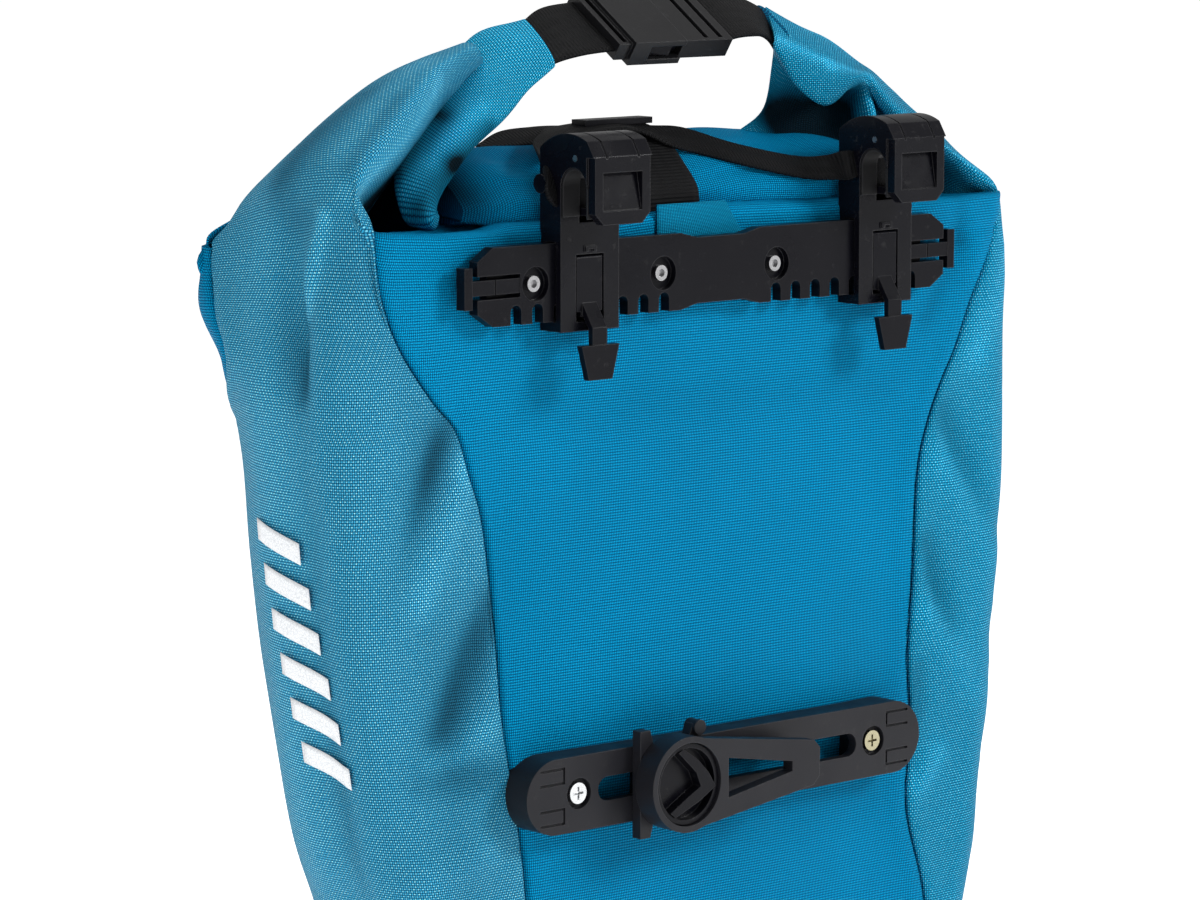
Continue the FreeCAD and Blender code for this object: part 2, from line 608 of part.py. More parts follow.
# ---------------------------------------------------------------- trim
def build_trim():
    # reflective column on the left side: short slanted bars, one above the other
    skin = bag_solid(-0.4).cut(outer_bag).common(box(-far, -100, -48, 60, 60, 340))
    bars = []
    for index in range(mark_bars):
        z = mark_foot + mark_pitch * index
        y = mark_y + 4.0 * index
        bar = [(y, z), (y + 34, z + 8), (y + 34, z + 18), (y, z + 10)]
        bars.append(plate_yz(bar, -far, -120))
    parts["reflective_mark"] = skin.common(Part.makeCompound(bars))
    patch = plate_xz([(-27, 402.5), (22, 402.5), (14, 416.5), (-27, 416.5)], back_face_y - 0.7, back_face_y)
    parts["hem_patch"] = patch.translated(Vector(-5, 0, 0))


build_trim()

# ---------------------------------------------------------------- export
os.makedirs("parts", exist_ok=True)
for name, shape in parts.items():
    shape.exportStep("parts/" + name + ".step")
    print(name, len(shape.Solids), shape.isValid(), round(shape.Volume / 1000.0, 2), "cm3")
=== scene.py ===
import json
import math

import bpy
import numpy as np
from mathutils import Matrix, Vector, noise


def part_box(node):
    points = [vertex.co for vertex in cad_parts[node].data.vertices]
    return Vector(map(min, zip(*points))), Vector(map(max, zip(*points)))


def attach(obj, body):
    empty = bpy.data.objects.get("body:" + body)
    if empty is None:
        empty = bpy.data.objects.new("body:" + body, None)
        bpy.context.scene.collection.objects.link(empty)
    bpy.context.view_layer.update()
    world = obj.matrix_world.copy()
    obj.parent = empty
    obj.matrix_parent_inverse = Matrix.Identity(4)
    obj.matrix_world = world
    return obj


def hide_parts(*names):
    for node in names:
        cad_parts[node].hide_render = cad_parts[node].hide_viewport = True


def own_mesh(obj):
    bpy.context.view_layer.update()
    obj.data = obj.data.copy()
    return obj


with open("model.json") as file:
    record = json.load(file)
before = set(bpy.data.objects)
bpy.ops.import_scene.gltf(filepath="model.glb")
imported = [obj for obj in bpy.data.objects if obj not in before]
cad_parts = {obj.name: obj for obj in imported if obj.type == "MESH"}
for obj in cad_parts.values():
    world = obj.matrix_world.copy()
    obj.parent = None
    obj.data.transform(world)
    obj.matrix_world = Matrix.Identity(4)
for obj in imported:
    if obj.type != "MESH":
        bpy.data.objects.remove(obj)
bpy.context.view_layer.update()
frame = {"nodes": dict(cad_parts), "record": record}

MM = 0.001


# ---- the frame, in millimetres
def node_box(node):
    """Lowest and highest corner of a CAD node."""
    low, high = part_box(node)
    return np.array(low) / MM, np.array(high) / MM


wall_low, wall_high = node_box("back_panel")
HEM = wall_high[2]
TURN_UP = wall_low[2]
BACK_Y = wall_low[1]
SIDE_X = node_box("side_panel_right")[1][0]
FRONT_Y = node_box("front_panel")[1][1]
hook_low = {side: node_box("hook_" + side)[0] for side in ("left", "right")}
hook_high = {side: node_box("hook_" + side)[1] for side in ("left", "right")}
bar_low, bar_high = node_box("lower_bar")

# the filled bag at each share of its height: half width share right and left, front share, and the radius
# of the front corner right and left
STATIONS = [(0.0, 0.825, 0.70, 0.85, 46.0, 56.0), (0.13, 0.885, 0.75, 0.92, 54.0, 80.0),
            (0.22, 0.935, 0.81, 0.95, 57.0, 84.0), (0.32, 0.96, 0.882, 0.97, 60.0, 84.0),
            (0.48, 0.985, 0.935, 1.0, 62.0, 84.0), (0.62, 1.0, 0.965, 0.995, 60.0, 82.0),
            (0.74, 1.0, 0.985, 0.98, 56.0, 82.0), (0.83, 0.998, 0.99, 0.95, 50.0, 64.0),
            (0.91, 0.992, 0.982, 0.91, 42.0, 34.0), (1.0, 0.984, 0.962, 0.87, 34.0, 20.0)]
BACK_RADIUS = 26.0
CORNER_POINTS = 15
FRONT_BEND = 1 + CORNER_POINTS  # index of the front corner's first point in a half outline
# back seam: share of the wall's height, and how far out it lies on the right and on the left
BACK_SEAM = [(1.0, 203.0, 195.5), (0.944, 195.0, 194.5), (0.90, 187.0, 189.5), (0.858, 178.0, 181.5),
             (0.80, 167.0, 165.0), (0.765, 158.0, 152.5), (0.714, 148.0, 145.0), (0.65, 141.0, 136.0),
             (0.53, 138.0, 129.5), (0.42, 134.5, 126.0), (0.33, 137.0, 119.5), (0.225, 134.5, 113.0),
             (0.12, 147.0, 112.0), (0.0, 156.0, 116.0)]
# front seam: share of the wall's height, and its distance past the start of the front corner's bend
FRONT_SEAM = [(1.0, 2.0), (0.93, 2.0), (0.89, 6.0), (0.85, 14.0), (0.815, 30.0), (0.78, 56.0), (0.72, 88.0),
              (0.5, 118.0), (0.0, 104.0)]


# ---- curves and grids
def catmull(points, steps):
    """Smooth curve through the points (first axis), with steps samples on each span."""
    p = np.asarray(points, float)
    p = np.concatenate([2 * p[:1] - p[1:2], p, 2 * p[-1:] - p[-2:-1]])
    out = []
    for i in range(1, len(p) - 2):
        for t in np.linspace(0, 1, steps, endpoint=False):
            a = 2 * p[i]
            b = p[i + 1] - p[i - 1]
            c = 2 * p[i - 1] - 5 * p[i] + 4 * p[i + 1] - p[i + 2]
            d = 3 * p[i] - p[i - 1] - 3 * p[i + 1] + p[i + 2]
            out.append(0.5 * (a + b * t + c * t * t + d * t ** 3))
    out.append(p[-2])
    return np.array(out)


def resample(row, shares):
    """Points at the given shares of a polyline's length."""
    step = np.linalg.norm(np.diff(row, axis=0), axis=1)
    at = np.concatenate([[0], np.cumsum(step)]) / step.sum()
    return np.stack([np.interp(shares, at, row[:, k]) for k in range(3)], axis=1)


def smooth_step(t):
    t = np.clip(t, 0, 1)
    return t * t * (3 - 2 * t)


def grid_normals(grid):
    du = np.gradient(grid, axis=1)
    dv = np.gradient(grid, axis=0)
    n = np.cross(du, dv)
    return n / np.maximum(np.linalg.norm(n, axis=2, keepdims=True), 1e-9)


def soften(grid, rows, passes):
    """Averages each of the given rows with the rows on either side of it."""
    for _ in range(passes):
        mean = (grid[:-2] + grid[2:]) / 2
        for r in rows:
            if 0 < r < len(grid) - 1:
                grid[r] = grid[r] * 0.5 + mean[r - 1] * 0.5
    return grid


def pushed(grid, depth):
    """The grid moved along its own normals."""
    return grid + grid_normals(grid) * depth[..., None]


SEED_SHIFT = 17.3  # how far apart two seeds lie in the noise


def ripple(grid, amount, scale, seed, stretch=(1, 1, 1)):
    """Low, uneven waves in cloth, pushed along the surface's normal."""
    places = grid.reshape(-1, 3) * np.array(stretch) / scale + seed * SEED_SHIFT
    wave = np.array([noise.noise(Vector(p)) for p in places]).reshape(grid.shape[:2])
    return pushed(grid, wave * amount)


def stroke_reach(points, start, end):
    """How far along a straight stroke each point lies, from 0 to 1, and its distance from the stroke."""
    a = np.array(start, float)
    along = np.array(end, float) - a
    share = np.clip(((points - a) @ along) / (along @ along), 0, 1)
    return share, np.linalg.norm(points - (a + share[..., None] * along), axis=-1)


def painted_light_strokes(points, strokes):
    """Sum of soft strokes of painted shade (below 0) or painted light (above 0) on the threads near each."""
    painted_light = np.zeros(points.shape[:-1])
    for start, end, width, amount in strokes:
        distance = stroke_reach(points, start, end)[1]
        painted_light += amount * np.exp(-(distance / width) ** 2)
    return painted_light


# ---- pieces
def mesh_piece(name, verts, faces, uvs=None):
    mesh = bpy.data.meshes.new(name)
    mesh.from_pydata((np.asarray(verts) * MM).tolist(), [], faces)
    if uvs is not None:
        layer = mesh.uv_layers.new(name="UVMap")
        loops = np.zeros(len(mesh.loops), dtype=np.int32)
        mesh.loops.foreach_get("vertex_index", loops)
        layer.data.foreach_set("uv", (np.asarray(uvs)[loops] * MM).astype(np.float32).ravel())
    mesh.polygons.foreach_set("use_smooth", [True] * len(mesh.polygons))
    mesh.update()
    piece = bpy.data.objects.new(name, mesh)
    bpy.context.scene.collection.objects.link(piece)
    return piece


def spacing(grid, axis):
    """Distances between neighbouring points, along the rows (axis 1) or the columns (axis 0)."""
    return np.linalg.norm(np.diff(grid, axis=axis), axis=2)


def travelled(grid, axis):
    """How far along its row (axis 1) or its column (axis 0) each point lies."""
    start = np.zeros_like(grid.take([0], axis=axis)[..., 0])
    return np.concatenate([start, np.cumsum(spacing(grid, axis), axis=axis)], axis=axis)


def grid_faces(rows, cols, close_u, caps, flip):
    """Quads between neighbouring rows and columns, and a cap at each end of a closed tube."""
    faces = []
    for r in range(rows - 1):
        for c in range(cols if close_u else cols - 1):
            a, b = r * cols + c, r * cols + (c + 1) % cols
            faces.append([a, b, b + cols, a + cols])
    if caps:
        faces.append(list(range(cols))[::-1])
        faces.append([(rows - 1) * cols + c for c in range(cols)])
    return [face[::-1] for face in faces] if flip else faces


def grid_piece(name, grid, material, nodes, thickness, close_u=False, caps=False, flip=False,
               painted_light=None):
    """Cloth from rows and columns of points, with UVs in metres along it. An open grid is a sheet; a tube
    can be closed with caps."""
    rows, cols = grid.shape[:2]
    du = travelled(grid, 1)
    u = du - du[:, cols // 2][:, None]
    v = np.repeat(travelled(grid, 0)[:, cols // 2][:, None], cols, axis=1)
    uvs = np.stack([u, v], axis=2).reshape(-1, 2)
    piece = mesh_piece(name, grid.reshape(-1, 3), grid_faces(rows, cols, close_u, caps, flip), uvs)
    # painted shade and highlights, one value per point, for the fabric's shader
    if painted_light is not None:
        layer = piece.data.attributes.new("painted_light", "FLOAT", "POINT")
        layer.data.foreach_set("value", painted_light.astype(np.float32).ravel())
    if thickness:
        thicken(piece, thickness)
    finish_piece(piece, material, nodes)
    return piece


def thicken(piece, thickness):
    shell = piece.modifiers.new("cloth thickness", "SOLIDIFY")
    shell.thickness = thickness * MM
    shell.offset = -1.0


def finish_piece(piece, material, nodes):
    """Every cloth is sewn to the bag's body."""
    piece.data.materials.append(material)
    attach(piece, "bag")
    if nodes:
        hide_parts(*nodes)


# ---- material nodes
class Nodes:
    """Small helper that adds and links shader nodes."""

    def __init__(self, name):
        self.material = bpy.data.materials.new(name)
        self.material.use_nodes = True
        self.tree = self.material.node_tree
        self.shader = self.tree.nodes["Principled BSDF"]

    def add(self, kind, **values):
        node = self.tree.nodes.new(kind)
        for key, value in values.items():
            setattr(node, key, value)
        return node

    def link(self, source, target):
        self.tree.links.new(source, target)

    def put(self, value, socket):
        """Links an output to the socket, or sets the socket to a plain number or colour."""
        if isinstance(value, bpy.types.NodeSocket):
            self.link(value, socket)
        else:
            socket.default_value = value

    def math(self, operation, a, b=None, c=None, clamp=False):
        node = self.add("ShaderNodeMath", operation=operation, use_clamp=clamp)
        for socket, value in zip(node.inputs, (a, b, c)):
            if value is not None:
                self.put(value, socket)
        return node.outputs[0]

    def mix(self, share, a, b):
        node = self.add("ShaderNodeMix", data_type="RGBA")
        for socket, value in ((0, share), (6, a), (7, b)):
            self.put(value + (1.0,) if isinstance(value, tuple) else value, node.inputs[socket])
        return node.outputs[2]

    def noise(self, scale, detail=2.0, roughness=0.5):
        node = self.add("ShaderNodeTexNoise")
        node.inputs["Scale"].default_value = scale
        node.inputs["Detail"].default_value = detail
        node.inputs["Roughness"].default_value = roughness
        self.link(self.add("ShaderNodeTexCoord").outputs["Object"], node.inputs["Vector"])
        return node.outputs["Fac"]

    def range(self, value, low, high, new_low=0.0, new_high=1.0):
        node = self.add("ShaderNodeMapRange")
        self.link(value, node.inputs["Value"])
        limits = {"From Min": low, "From Max": high, "To Min": new_low, "To Max": new_high}
        for socket, number in limits.items():
            node.inputs[socket].default_value = number
        return node.outputs["Result"]

    def bump(self, height, strength, distance, normal=None):
        node = self.add("ShaderNodeBump")
        node.inputs["Strength"].default_value = strength
        node.inputs["Distance"].default_value = distance
        self.link(height, node.inputs["Height"])
        if normal:
            self.link(normal, node.inputs["Normal"])
        return node.outputs["Normal"]

    def uv(self):
        split = self.add("ShaderNodeSeparateXYZ")
        self.link(self.add("ShaderNodeUVMap", uv_map="UVMap").outputs["UV"], split.inputs[0])
        return split.outputs["X"], split.outputs["Y"]

    def set(self, **sockets):
        """Sets or links the shader's sockets."""
        for name, value in sockets.items():
            self.put(value, self.shader.inputs[name.replace("_", " ")])


def plain_weave(n, warp, weft):
    """Height of a plain weave, 0 to 1, and which thread lies on top."""
    u, v = n.uv()
    x = n.math("DIVIDE", u, warp)
    y = n.math("DIVIDE", v, weft)
    square = n.math("ADD", n.math("FLOOR", x), n.math("FLOOR", y))
    parity = n.math("ABSOLUTE", n.math("MODULO", square, 2.0))
    fx = n.math("SUBTRACT", n.math("MULTIPLY", n.math("FRACT", x), 2.0), 1.0)
    fy = n.math("SUBTRACT", n.math("MULTIPLY", n.math("FRACT", y), 2.0), 1.0)
    across_x = n.math("SUBTRACT", 1.0, n.math("MULTIPLY", fx, fx))
    across_y = n.math("SUBTRACT", 1.0, n.math("MULTIPLY", fy, fy))
    # thread along u is round across v and dips at its ends, and the other way about
    along_u = n.math("MULTIPLY", across_y, n.math("ADD", 0.45, n.math("MULTIPLY", across_x, 0.55)))
    along_v = n.math("MULTIPLY", across_x, n.math("ADD", 0.45, n.math("MULTIPLY", across_y, 0.55)))
    turn = n.math("SUBTRACT", 1.0, parity)
    height = n.math("ADD", n.math("MULTIPLY", along_u, parity), n.math("MULTIPLY", along_v, turn))
    return height, parity


def fabric(name, deep, top, painted_glint, gloss, warp=1.05 * MM, weft=1.3 * MM, painted_glint_share=0.5, spark=0.3):
    """Coated woven polyester: coloured threads with painted shade in the gaps and painted glints on
    the crowns. The cloth's painted light, where it has one, adds painted shade or stronger painted glints."""
    n = Nodes(name)
    height, parity = plain_weave(n, warp, weft)
    painted_light = n.add("ShaderNodeAttribute", attribute_name="painted_light").outputs["Fac"]
    patchy = n.noise(9.0, 3.0)
    fine = n.noise(650.0, 1.0)
    # thread colour: painted shade in the gaps between threads, painted light on their crowns
    base = n.mix(n.range(height, 0.25, 0.80), deep, top)
    # painted glints on the crowns of one set of threads, scattered by fine noise and scaled by the stroke
    # values
    painted_glints = n.math("MULTIPLY", n.range(height, 0.66, 0.95), n.math("MULTIPLY", parity, painted_glint_share))
    painted_glints = n.math("MULTIPLY", painted_glints, n.range(fine, 0.5 - spark, 0.5 + spark, 0.15, 1.0))
    painted_glint_gain = n.math("MULTIPLY_ADD", painted_light, 0.5, 0.5, clamp=True)
    painted_glints = n.math("MULTIPLY", painted_glints, n.math("MULTIPLY", painted_glint_gain, 2.0))
    base = n.mix(painted_glints, base, painted_glint)
    # painted shade or painted light from the strokes stored on the cloth
    painted_shading = n.math("ADD", 1.0, n.math("MULTIPLY", painted_light, 0.6))
    value = n.math("MULTIPLY", n.range(patchy, 0.3, 0.7, 0.93, 1.06), painted_shading)
    scaled = n.add("ShaderNodeHueSaturation")
    n.link(base, scaled.inputs["Color"])
    n.link(n.math("MAXIMUM", value, 0.02), scaled.inputs["Value"])
    n.set(Base_Color=scaled.outputs["Color"], Roughness=n.range(height, 0.2, 1.0, 0.7, 0.45),
          Specular_IOR_Level=gloss, Normal=n.bump(height, 0.9, 0.0005))
    return n.material


def webbing(name, colour, ribs):
    """Black nylon webbing with cross ribs and a fine herringbone."""
    n = Nodes(name)
    u, v = n.uv()
    rib = n.math("SINE", n.math("MULTIPLY", v, 2 * math.pi / ribs))
    slant = n.math("ADD", n.math("PINGPONG", u, 0.004), v)
    twill = n.math("SINE", n.math("MULTIPLY", slant, 2 * math.pi / (0.9 * MM)))
    height = n.math("ADD", n.math("MULTIPLY", rib, 0.6), n.math("MULTIPLY", twill, 0.4))
    # the rib crowns are lighter than the gaps, by an amount that varies in patches
    lighten_amount = n.noise(60.0, 3.0)
    light = tuple(c * 4.0 + 0.006 for c in colour)
    share = n.math("MULTIPLY", n.range(height, 0.2, 1.0), n.range(lighten_amount, 0.3, 0.8, 0.2, 0.8))
    n.set(Base_Color=n.mix(share, colour, light), Roughness=0.6, Specular_IOR_Level=0.14,
          Normal=n.bump(height, 0.8, 0.0004))
    return n.material


def nylon(name, colour=(0.0025, 0.0025, 0.0045), rough=0.3, gloss=0.12):
    """Moulded black nylon: fine spark texture, softened edges with a painted highlight along them, light
    scuffs.
    """
    n = Nodes(name)
    grain = n.noise(1500.0, 2.0)
    flow = n.noise(35.0, 4.0)
    scuff = n.noise(180.0, 5.0, roughness=0.7)
    mark = n.range(scuff, 0.60, 0.74, 0.0, 0.5)
    edge = n.add("ShaderNodeBevel", samples=4)
    edge.inputs["Radius"].default_value = 0.0007
    rounded = n.add("ShaderNodeVectorMath", operation="DOT_PRODUCT")
    n.link(edge.outputs["Normal"], rounded.inputs[0])
    n.link(n.add("ShaderNodeNewGeometry").outputs["Normal"], rounded.inputs[1])
    # painted highlight along the edges: where the rounded normal turns from the face, the colour goes towards
    # grey
    lighten_amount = n.range(rounded.outputs["Value"], 0.99, 0.80, 0.0, 0.55)
    scuffed = n.mix(mark, colour, (0.03, 0.03, 0.031))
    n.set(Base_Color=n.mix(lighten_amount, scuffed, (0.06, 0.06, 0.064)),
          Roughness=n.range(flow, 0.3, 0.7, rough - 0.07, rough + 0.10), Specular_IOR_Level=gloss,
          Normal=n.bump(grain, 0.28, 0.00012, edge.outputs["Normal"]))
    return n.material


def metal(name, colour, rough, brassy=None):
    """Zinc-plated steel, with faint turning marks; brassy tints the pieces on the right."""
    n = Nodes(name)
    streak = n.noise(900.0, 2.0)
    tint = n.mix(n.noise(300.0, 2.0), colour, tuple(c * 0.8 for c in colour))
    if brassy:
        split = n.add("ShaderNodeSeparateXYZ")
        n.link(n.add("ShaderNodeTexCoord").outputs["Object"], split.inputs[0])
        tint = n.mix(n.math("GREATER_THAN", split.outputs["X"], 0.0), tint, brassy)
    n.set(Base_Color=tint, Metallic=1.0, Roughness=n.range(streak, 0.2, 0.8, rough - 0.08, rough + 0.10),
          Normal=n.bump(streak, 0.15, 0.0001))
    return n.material


def sheet_plastic(name, colour, rough):
    n = Nodes(name)
    mottled = n.noise(220.0, 3.0)
    n.set(Base_Color=n.mix(mottled, colour, tuple(c * 0.75 for c in colour)), Roughness=rough,
          Normal=n.bump(mottled, 0.2, 0.0002))
    return n.material


def reflective(name):
    """Light grey retroreflective print, with a faint honeycomb of beads."""
    n = Nodes(name)
    cells = n.add("ShaderNodeTexVoronoi", feature="DISTANCE_TO_EDGE")
    cells.inputs["Scale"].default_value = 700.0
    n.link(n.add("ShaderNodeTexCoord").outputs["Object"], cells.inputs["Vector"])
    edge = n.range(cells.outputs["Distance"], 0.0, 0.12)
    n.set(Base_Color=n.mix(edge, (0.62, 0.65, 0.68), (0.86, 0.88, 0.90)), Roughness=0.35,
          Specular_IOR_Level=0.6, Normal=n.bump(edge, 0.2, 0.0001))
    return n.material


BLUE = fabric("blue_fabric", (0.0, 0.05, 0.13), (0.0, 0.285, 0.56), (0.0, 0.46, 0.78), 0.03)
PATCH = fabric("patch_fabric", (0.0, 0.05, 0.12), (0.0, 0.30, 0.54), (0.02, 0.52, 0.76), 0.06,
               warp=0.7 * MM, weft=1.1 * MM)
# the wall's blue cloth again with painted sheen: greyer with whiter, stronger painted glints on the left
# side, less on the right
SIDE_LEFT_PAINTED_SHEEN = fabric("side_fabric", (0.0, 0.055, 0.125), (0.026, 0.345, 0.59), (0.46, 1.0, 1.0), 0.09,
                   painted_glint_share=0.85, spark=0.2)
SIDE_RIGHT_PAINTED_SHEEN = fabric("side_fabric_right_painted_sheen", (0.0, 0.055, 0.13), (0.0, 0.30, 0.53), (0.20, 0.75, 0.95), 0.06,
                    painted_glint_share=0.9, spark=0.2)
# the arms' copy of the blue cloth, painted lighter where the arms catch the light
ARM_PAINTED_LIGHTER = fabric("arm_fabric_painted_lighter", (0.0, 0.06, 0.14), (0.006, 0.42, 0.72), (0.30, 0.88, 1.0), 0.06, painted_glint_share=0.85)
WEBBING = webbing("black_webbing", (0.002, 0.002, 0.0025), 1.9 * MM)
NYLON = nylon("black_nylon")
HOOK_NYLON = nylon("hook_nylon", rough=0.24, gloss=0.16)
# the lower bar's black nylon, painted lighter as the white floor's reflection on it
BAR_NYLON_PAINTED_LIGHTER = nylon("bar_nylon_painted_lighter", (0.010, 0.010, 0.013), 0.42, 0.2)
BUCKLE_NYLON = nylon("buckle_nylon", (0.006, 0.006, 0.007), 0.3, 0.24)
STEEL = metal("zinc_steel", (0.42, 0.42, 0.43), 0.3)
BAR_SCREWS = metal("bar_screw_steel", (0.66, 0.67, 0.68), 0.28, brassy=(0.36, 0.33, 0.22))
LINER = nylon("liner_plastic", (0.012, 0.012, 0.013), 0.5)
SHEET = sheet_plastic("grey_sheet", (0.24, 0.24, 0.25), 0.5)
MARK = reflective("reflective_print")
SLOT_MATERIALS = {"black_nylon": NYLON, "zinc_steel": STEEL, "liner_plastic": LINER, "grey_sheet": SHEET,
                  "black_webbing": WEBBING, "reflective_print": MARK}
OWN_MATERIALS = {"lower_bar_screws": BAR_SCREWS, "lower_bar": BAR_NYLON_PAINTED_LIGHTER, "lower_slider": BAR_NYLON_PAINTED_LIGHTER,
                 "lower_hook": BAR_NYLON_PAINTED_LIGHTER, "buckle_female": BUCKLE_NYLON, "buckle_male": BUCKLE_NYLON,
                 "hook_left": HOOK_NYLON, "hook_right": HOOK_NYLON}


def dress_cad_nodes():
    """Each node takes its own material where it has one, or else its slot's."""
    for entry in frame["record"]["subparts"]:
        material = OWN_MATERIALS.get(entry["node"], SLOT_MATERIALS.get(entry["material_slot"]))
        if material:
            mesh = frame["nodes"][entry["node"]].data
            mesh.materials.clear()
            mesh.materials.append(material)


dress_cad_nodes()


# ---- the filled bag's wall
def seam_line(points):
    """Smooth curve, from the bottom up, through rows that begin with a share of the wall's height."""
    return catmull([(row[0] * (HEM - TURN_UP) + TURN_UP, *row[1:]) for row in points], 8)[::-1]


station_curve = catmull(np.array(STATIONS) * (HEM, SIDE_X, SIDE_X, FRONT_Y, 1, 1), 12)
back_seam = seam_line(BACK_SEAM)
front_seam = seam_line(FRONT_SEAM)


def station(z, side):
    """Half width, front and front corner radius at a height, on one side."""
    columns = (1, 3, 4) if side > 0 else (2, 3, 5)
    return [np.interp(z, station_curve[:, 0], station_curve[:, k]) for k in columns]


def wall_outline(z, side):
    """Half of the bag's outline at one height, from the middle of the back to the middle of the front."""
    half, front, rf = station(z, side)
    rb = BACK_RADIUS
    turns = np.linspace(0, math.pi / 2, CORNER_POINTS)
    points = [(0.0, BACK_Y)]
    points += [(half - rb + rb * math.sin(t), BACK_Y + rb - rb * math.cos(t)) for t in turns]
    points += [(half - rf + rf * math.cos(t), front - rf + rf * math.sin(t)) for t in turns]
    points.append((0.0, front))
    outline = np.array([(side * x, y, z) for x, y in points])
    step = np.linalg.norm(np.diff(outline, axis=0), axis=1)
    return outline, np.concatenate([[0], np.cumsum(step)])


def at_length(outline, lengths, wanted):
    """Points of an outline at the wanted distances along it."""
    return np.stack([np.interp(wanted, lengths, outline[:, k]) for k in range(3)], axis=-1)


def seam_lengths(z, side):
    """How far along the half outline the back seam and the front seam lie."""
    outline, lengths = wall_outline(z, side)
    half = station(z, side)[0]
    x = min(np.interp(z, back_seam[:, 0], back_seam[:, 1 if side > 0 else 2]), half - 0.5)
    straight = half - BACK_RADIUS
    turn = math.asin(np.clip((x - straight) / BACK_RADIUS, 0.0, 1.0))
    back = min(x, straight) + BACK_RADIUS * turn
    past = np.interp(z, front_seam[:, 0], front_seam[:, 1])
    return outline, lengths, back, lengths[FRONT_BEND] + past


def edge_shares(count, near=(0.0, 0.8, 1.8, 3.5, 6.0), length=280.0):
    """Shares from 0 to 1 that crowd towards both ends, where the seams dip."""
    inner = np.linspace(near[-1] / length, 1 - near[-1] / length, count - 2 * len(near) + 2)
    start = np.array(near[:-1]) / length
    return np.concatenate([start, inner, (1 - start)[::-1]])


def seam_dip(distance):
    """Cloth turns in at a seam and puffs up a little beside it."""
    return -2.4 * np.exp(-(distance / 1.1) ** 2) + 0.9 * np.exp(-((distance - 7.0) / 6.0) ** 2)


# soft dents and ridges of the filled bag: start, end, half width, depth (positive is outwards) and,
# where it catches or loses the light, that tone's half width and amount
FOLDS = [
    ((-190, -44, 404), (-150, -47, 330), 9, 2.0),
    ((-155, -47, 333), (-187, -34, 248), 10, -6.0, 9, -1.0),
    ((-149, -48, 308), (-172, -44, 248), 9, 4.5, 8, 1.0),
    ((-187, -34, 318), (-192, -30, 280), 12, 4.0),
    ((-131, -48, 244), (-158, -46, 185), 12, -6.0, 11, -0.9),
    ((-136, -48, 186), (-165, -44, 173), 8, 4.5, 7, 0.8),
    ((-170, -44, 167), (-131, -48, 163), 8, -4.0, 9, -0.5),
    ((-135, -47, 130), (-165, -44, 120), 9, 4.0, 8, 0.5),
    ((-208, -26, 425), (-211, -14, 380), 6, 4.0),
    ((-212, -2, 410), (-213, -8, 350), 12, -7.0),
    ((-211, -10, 380), (-211, -17, 344), 7, -4.0, 6, -0.5),
    ((-209, -30, 372), (-189, -36, 150), 9, 3.5),
    ((-196, -14, 280), (-186, -12, 100), 14, -3.5),
    ((-205, 40, 330), (-186, 60, 90), 24, -3.0),
    ((205, -36, 386), (181, -44, 336), 10, 3.0, 11, 0.8),
    ((157, -48, 309), (198, -38, 244), 10, -5.0, 9, -0.5),
    ((153, -48, 286), (195, -38, 234), 9, 5.0, 8, 0.7),
    ((147, -49, 243), (164, -46, 202), 9, -4.5, 8, -0.5),
    ((144, -49, 210), (184, -40, 163), 9, 4.5, 8, 0.7),
    ((197, -36, 207), (198, -34, 175), 12, -4.0, 10, -0.35),
    ((141, -49, 181), (141, -49, 157), 7, -3.0, 6, -0.5),
    ((155, -48, 135), (141, -49, 123), 9, 3.0, 8, 0.7),
    ((194, -34, 130), (179, -36, 83), 12, -4.0, 10, -0.35),
    ((-90, -50, 205), (100, -50, 208), 24, 1.6),
    ((168, -48, 412), (170, -49, 392), 5, -2.0),
    ((170, -49, 392), (146, -50, 356), 7, -1.6),
    ((180, -48, 405), (182, -48, 375), 8, 2.0),
    ((-207, 66, 398), (-203, 71, 352), 16, 4.0),
    ((0, 88, 330), (10, 88, 150), 50, 4.0),
    ((-110, 84, 380), (-90, 88, 240), 30, -4.0),
    ((110, 84, 370), (80, 88, 220), 30, -4.0),
]
# other places with painted shade, where the cloth is duller, or painted sheen, where it is brighter: start,
# end, half width, amount
PAINTED_LIGHT_PATCHES = [
    ((-187, -34, 318), (-189, -30, 290), 9, 0.35),
    ((-192, -40, 400), (-158, -47, 300), 16, -0.3),
    ((-172, -44, 300), (-150, -47, 120), 20, -0.25),
    ((-213, 8, 404), (-190, 20, 90), 26, 0.22),
    ((-212, 0, 412), (-213, -8, 352), 11, -0.5),
    ((-208, -28, 424), (-210, -20, 380), 4, 0.7),
    ((-209, -18, 372), (-186, -18, 60), 7, -0.35),
    ((-209, 14, 330), (-190, 14, 60), 18, 0.15),
]
# painted shade and light of the folds and patches on the side walls
SIDE_PAINTED_LIGHT = [(start, end, *painted_light) for start, end, _, _, *painted_light in FOLDS if painted_light] + PAINTED_LIGHT_PATCHES
# painted shade and highlights on the back: start, end, half width, amount
BACK_PAINTED_LIGHT = [
    ((168, -48, 412), (170, -49, 392), 4, -0.4), ((170, -49, 392), (146, -50, 356), 6, -0.35),
    ((178, -48, 405), (182, -48, 380), 6, 0.2), ((-60, -55, 120), (110, -55, 122), 12, -0.2),
    ((-190, -48, 416), (140, -50, 412), 2.2, 0.3), ((-110, -50, 330), (120, -50, 325), 10, -0.1),
]
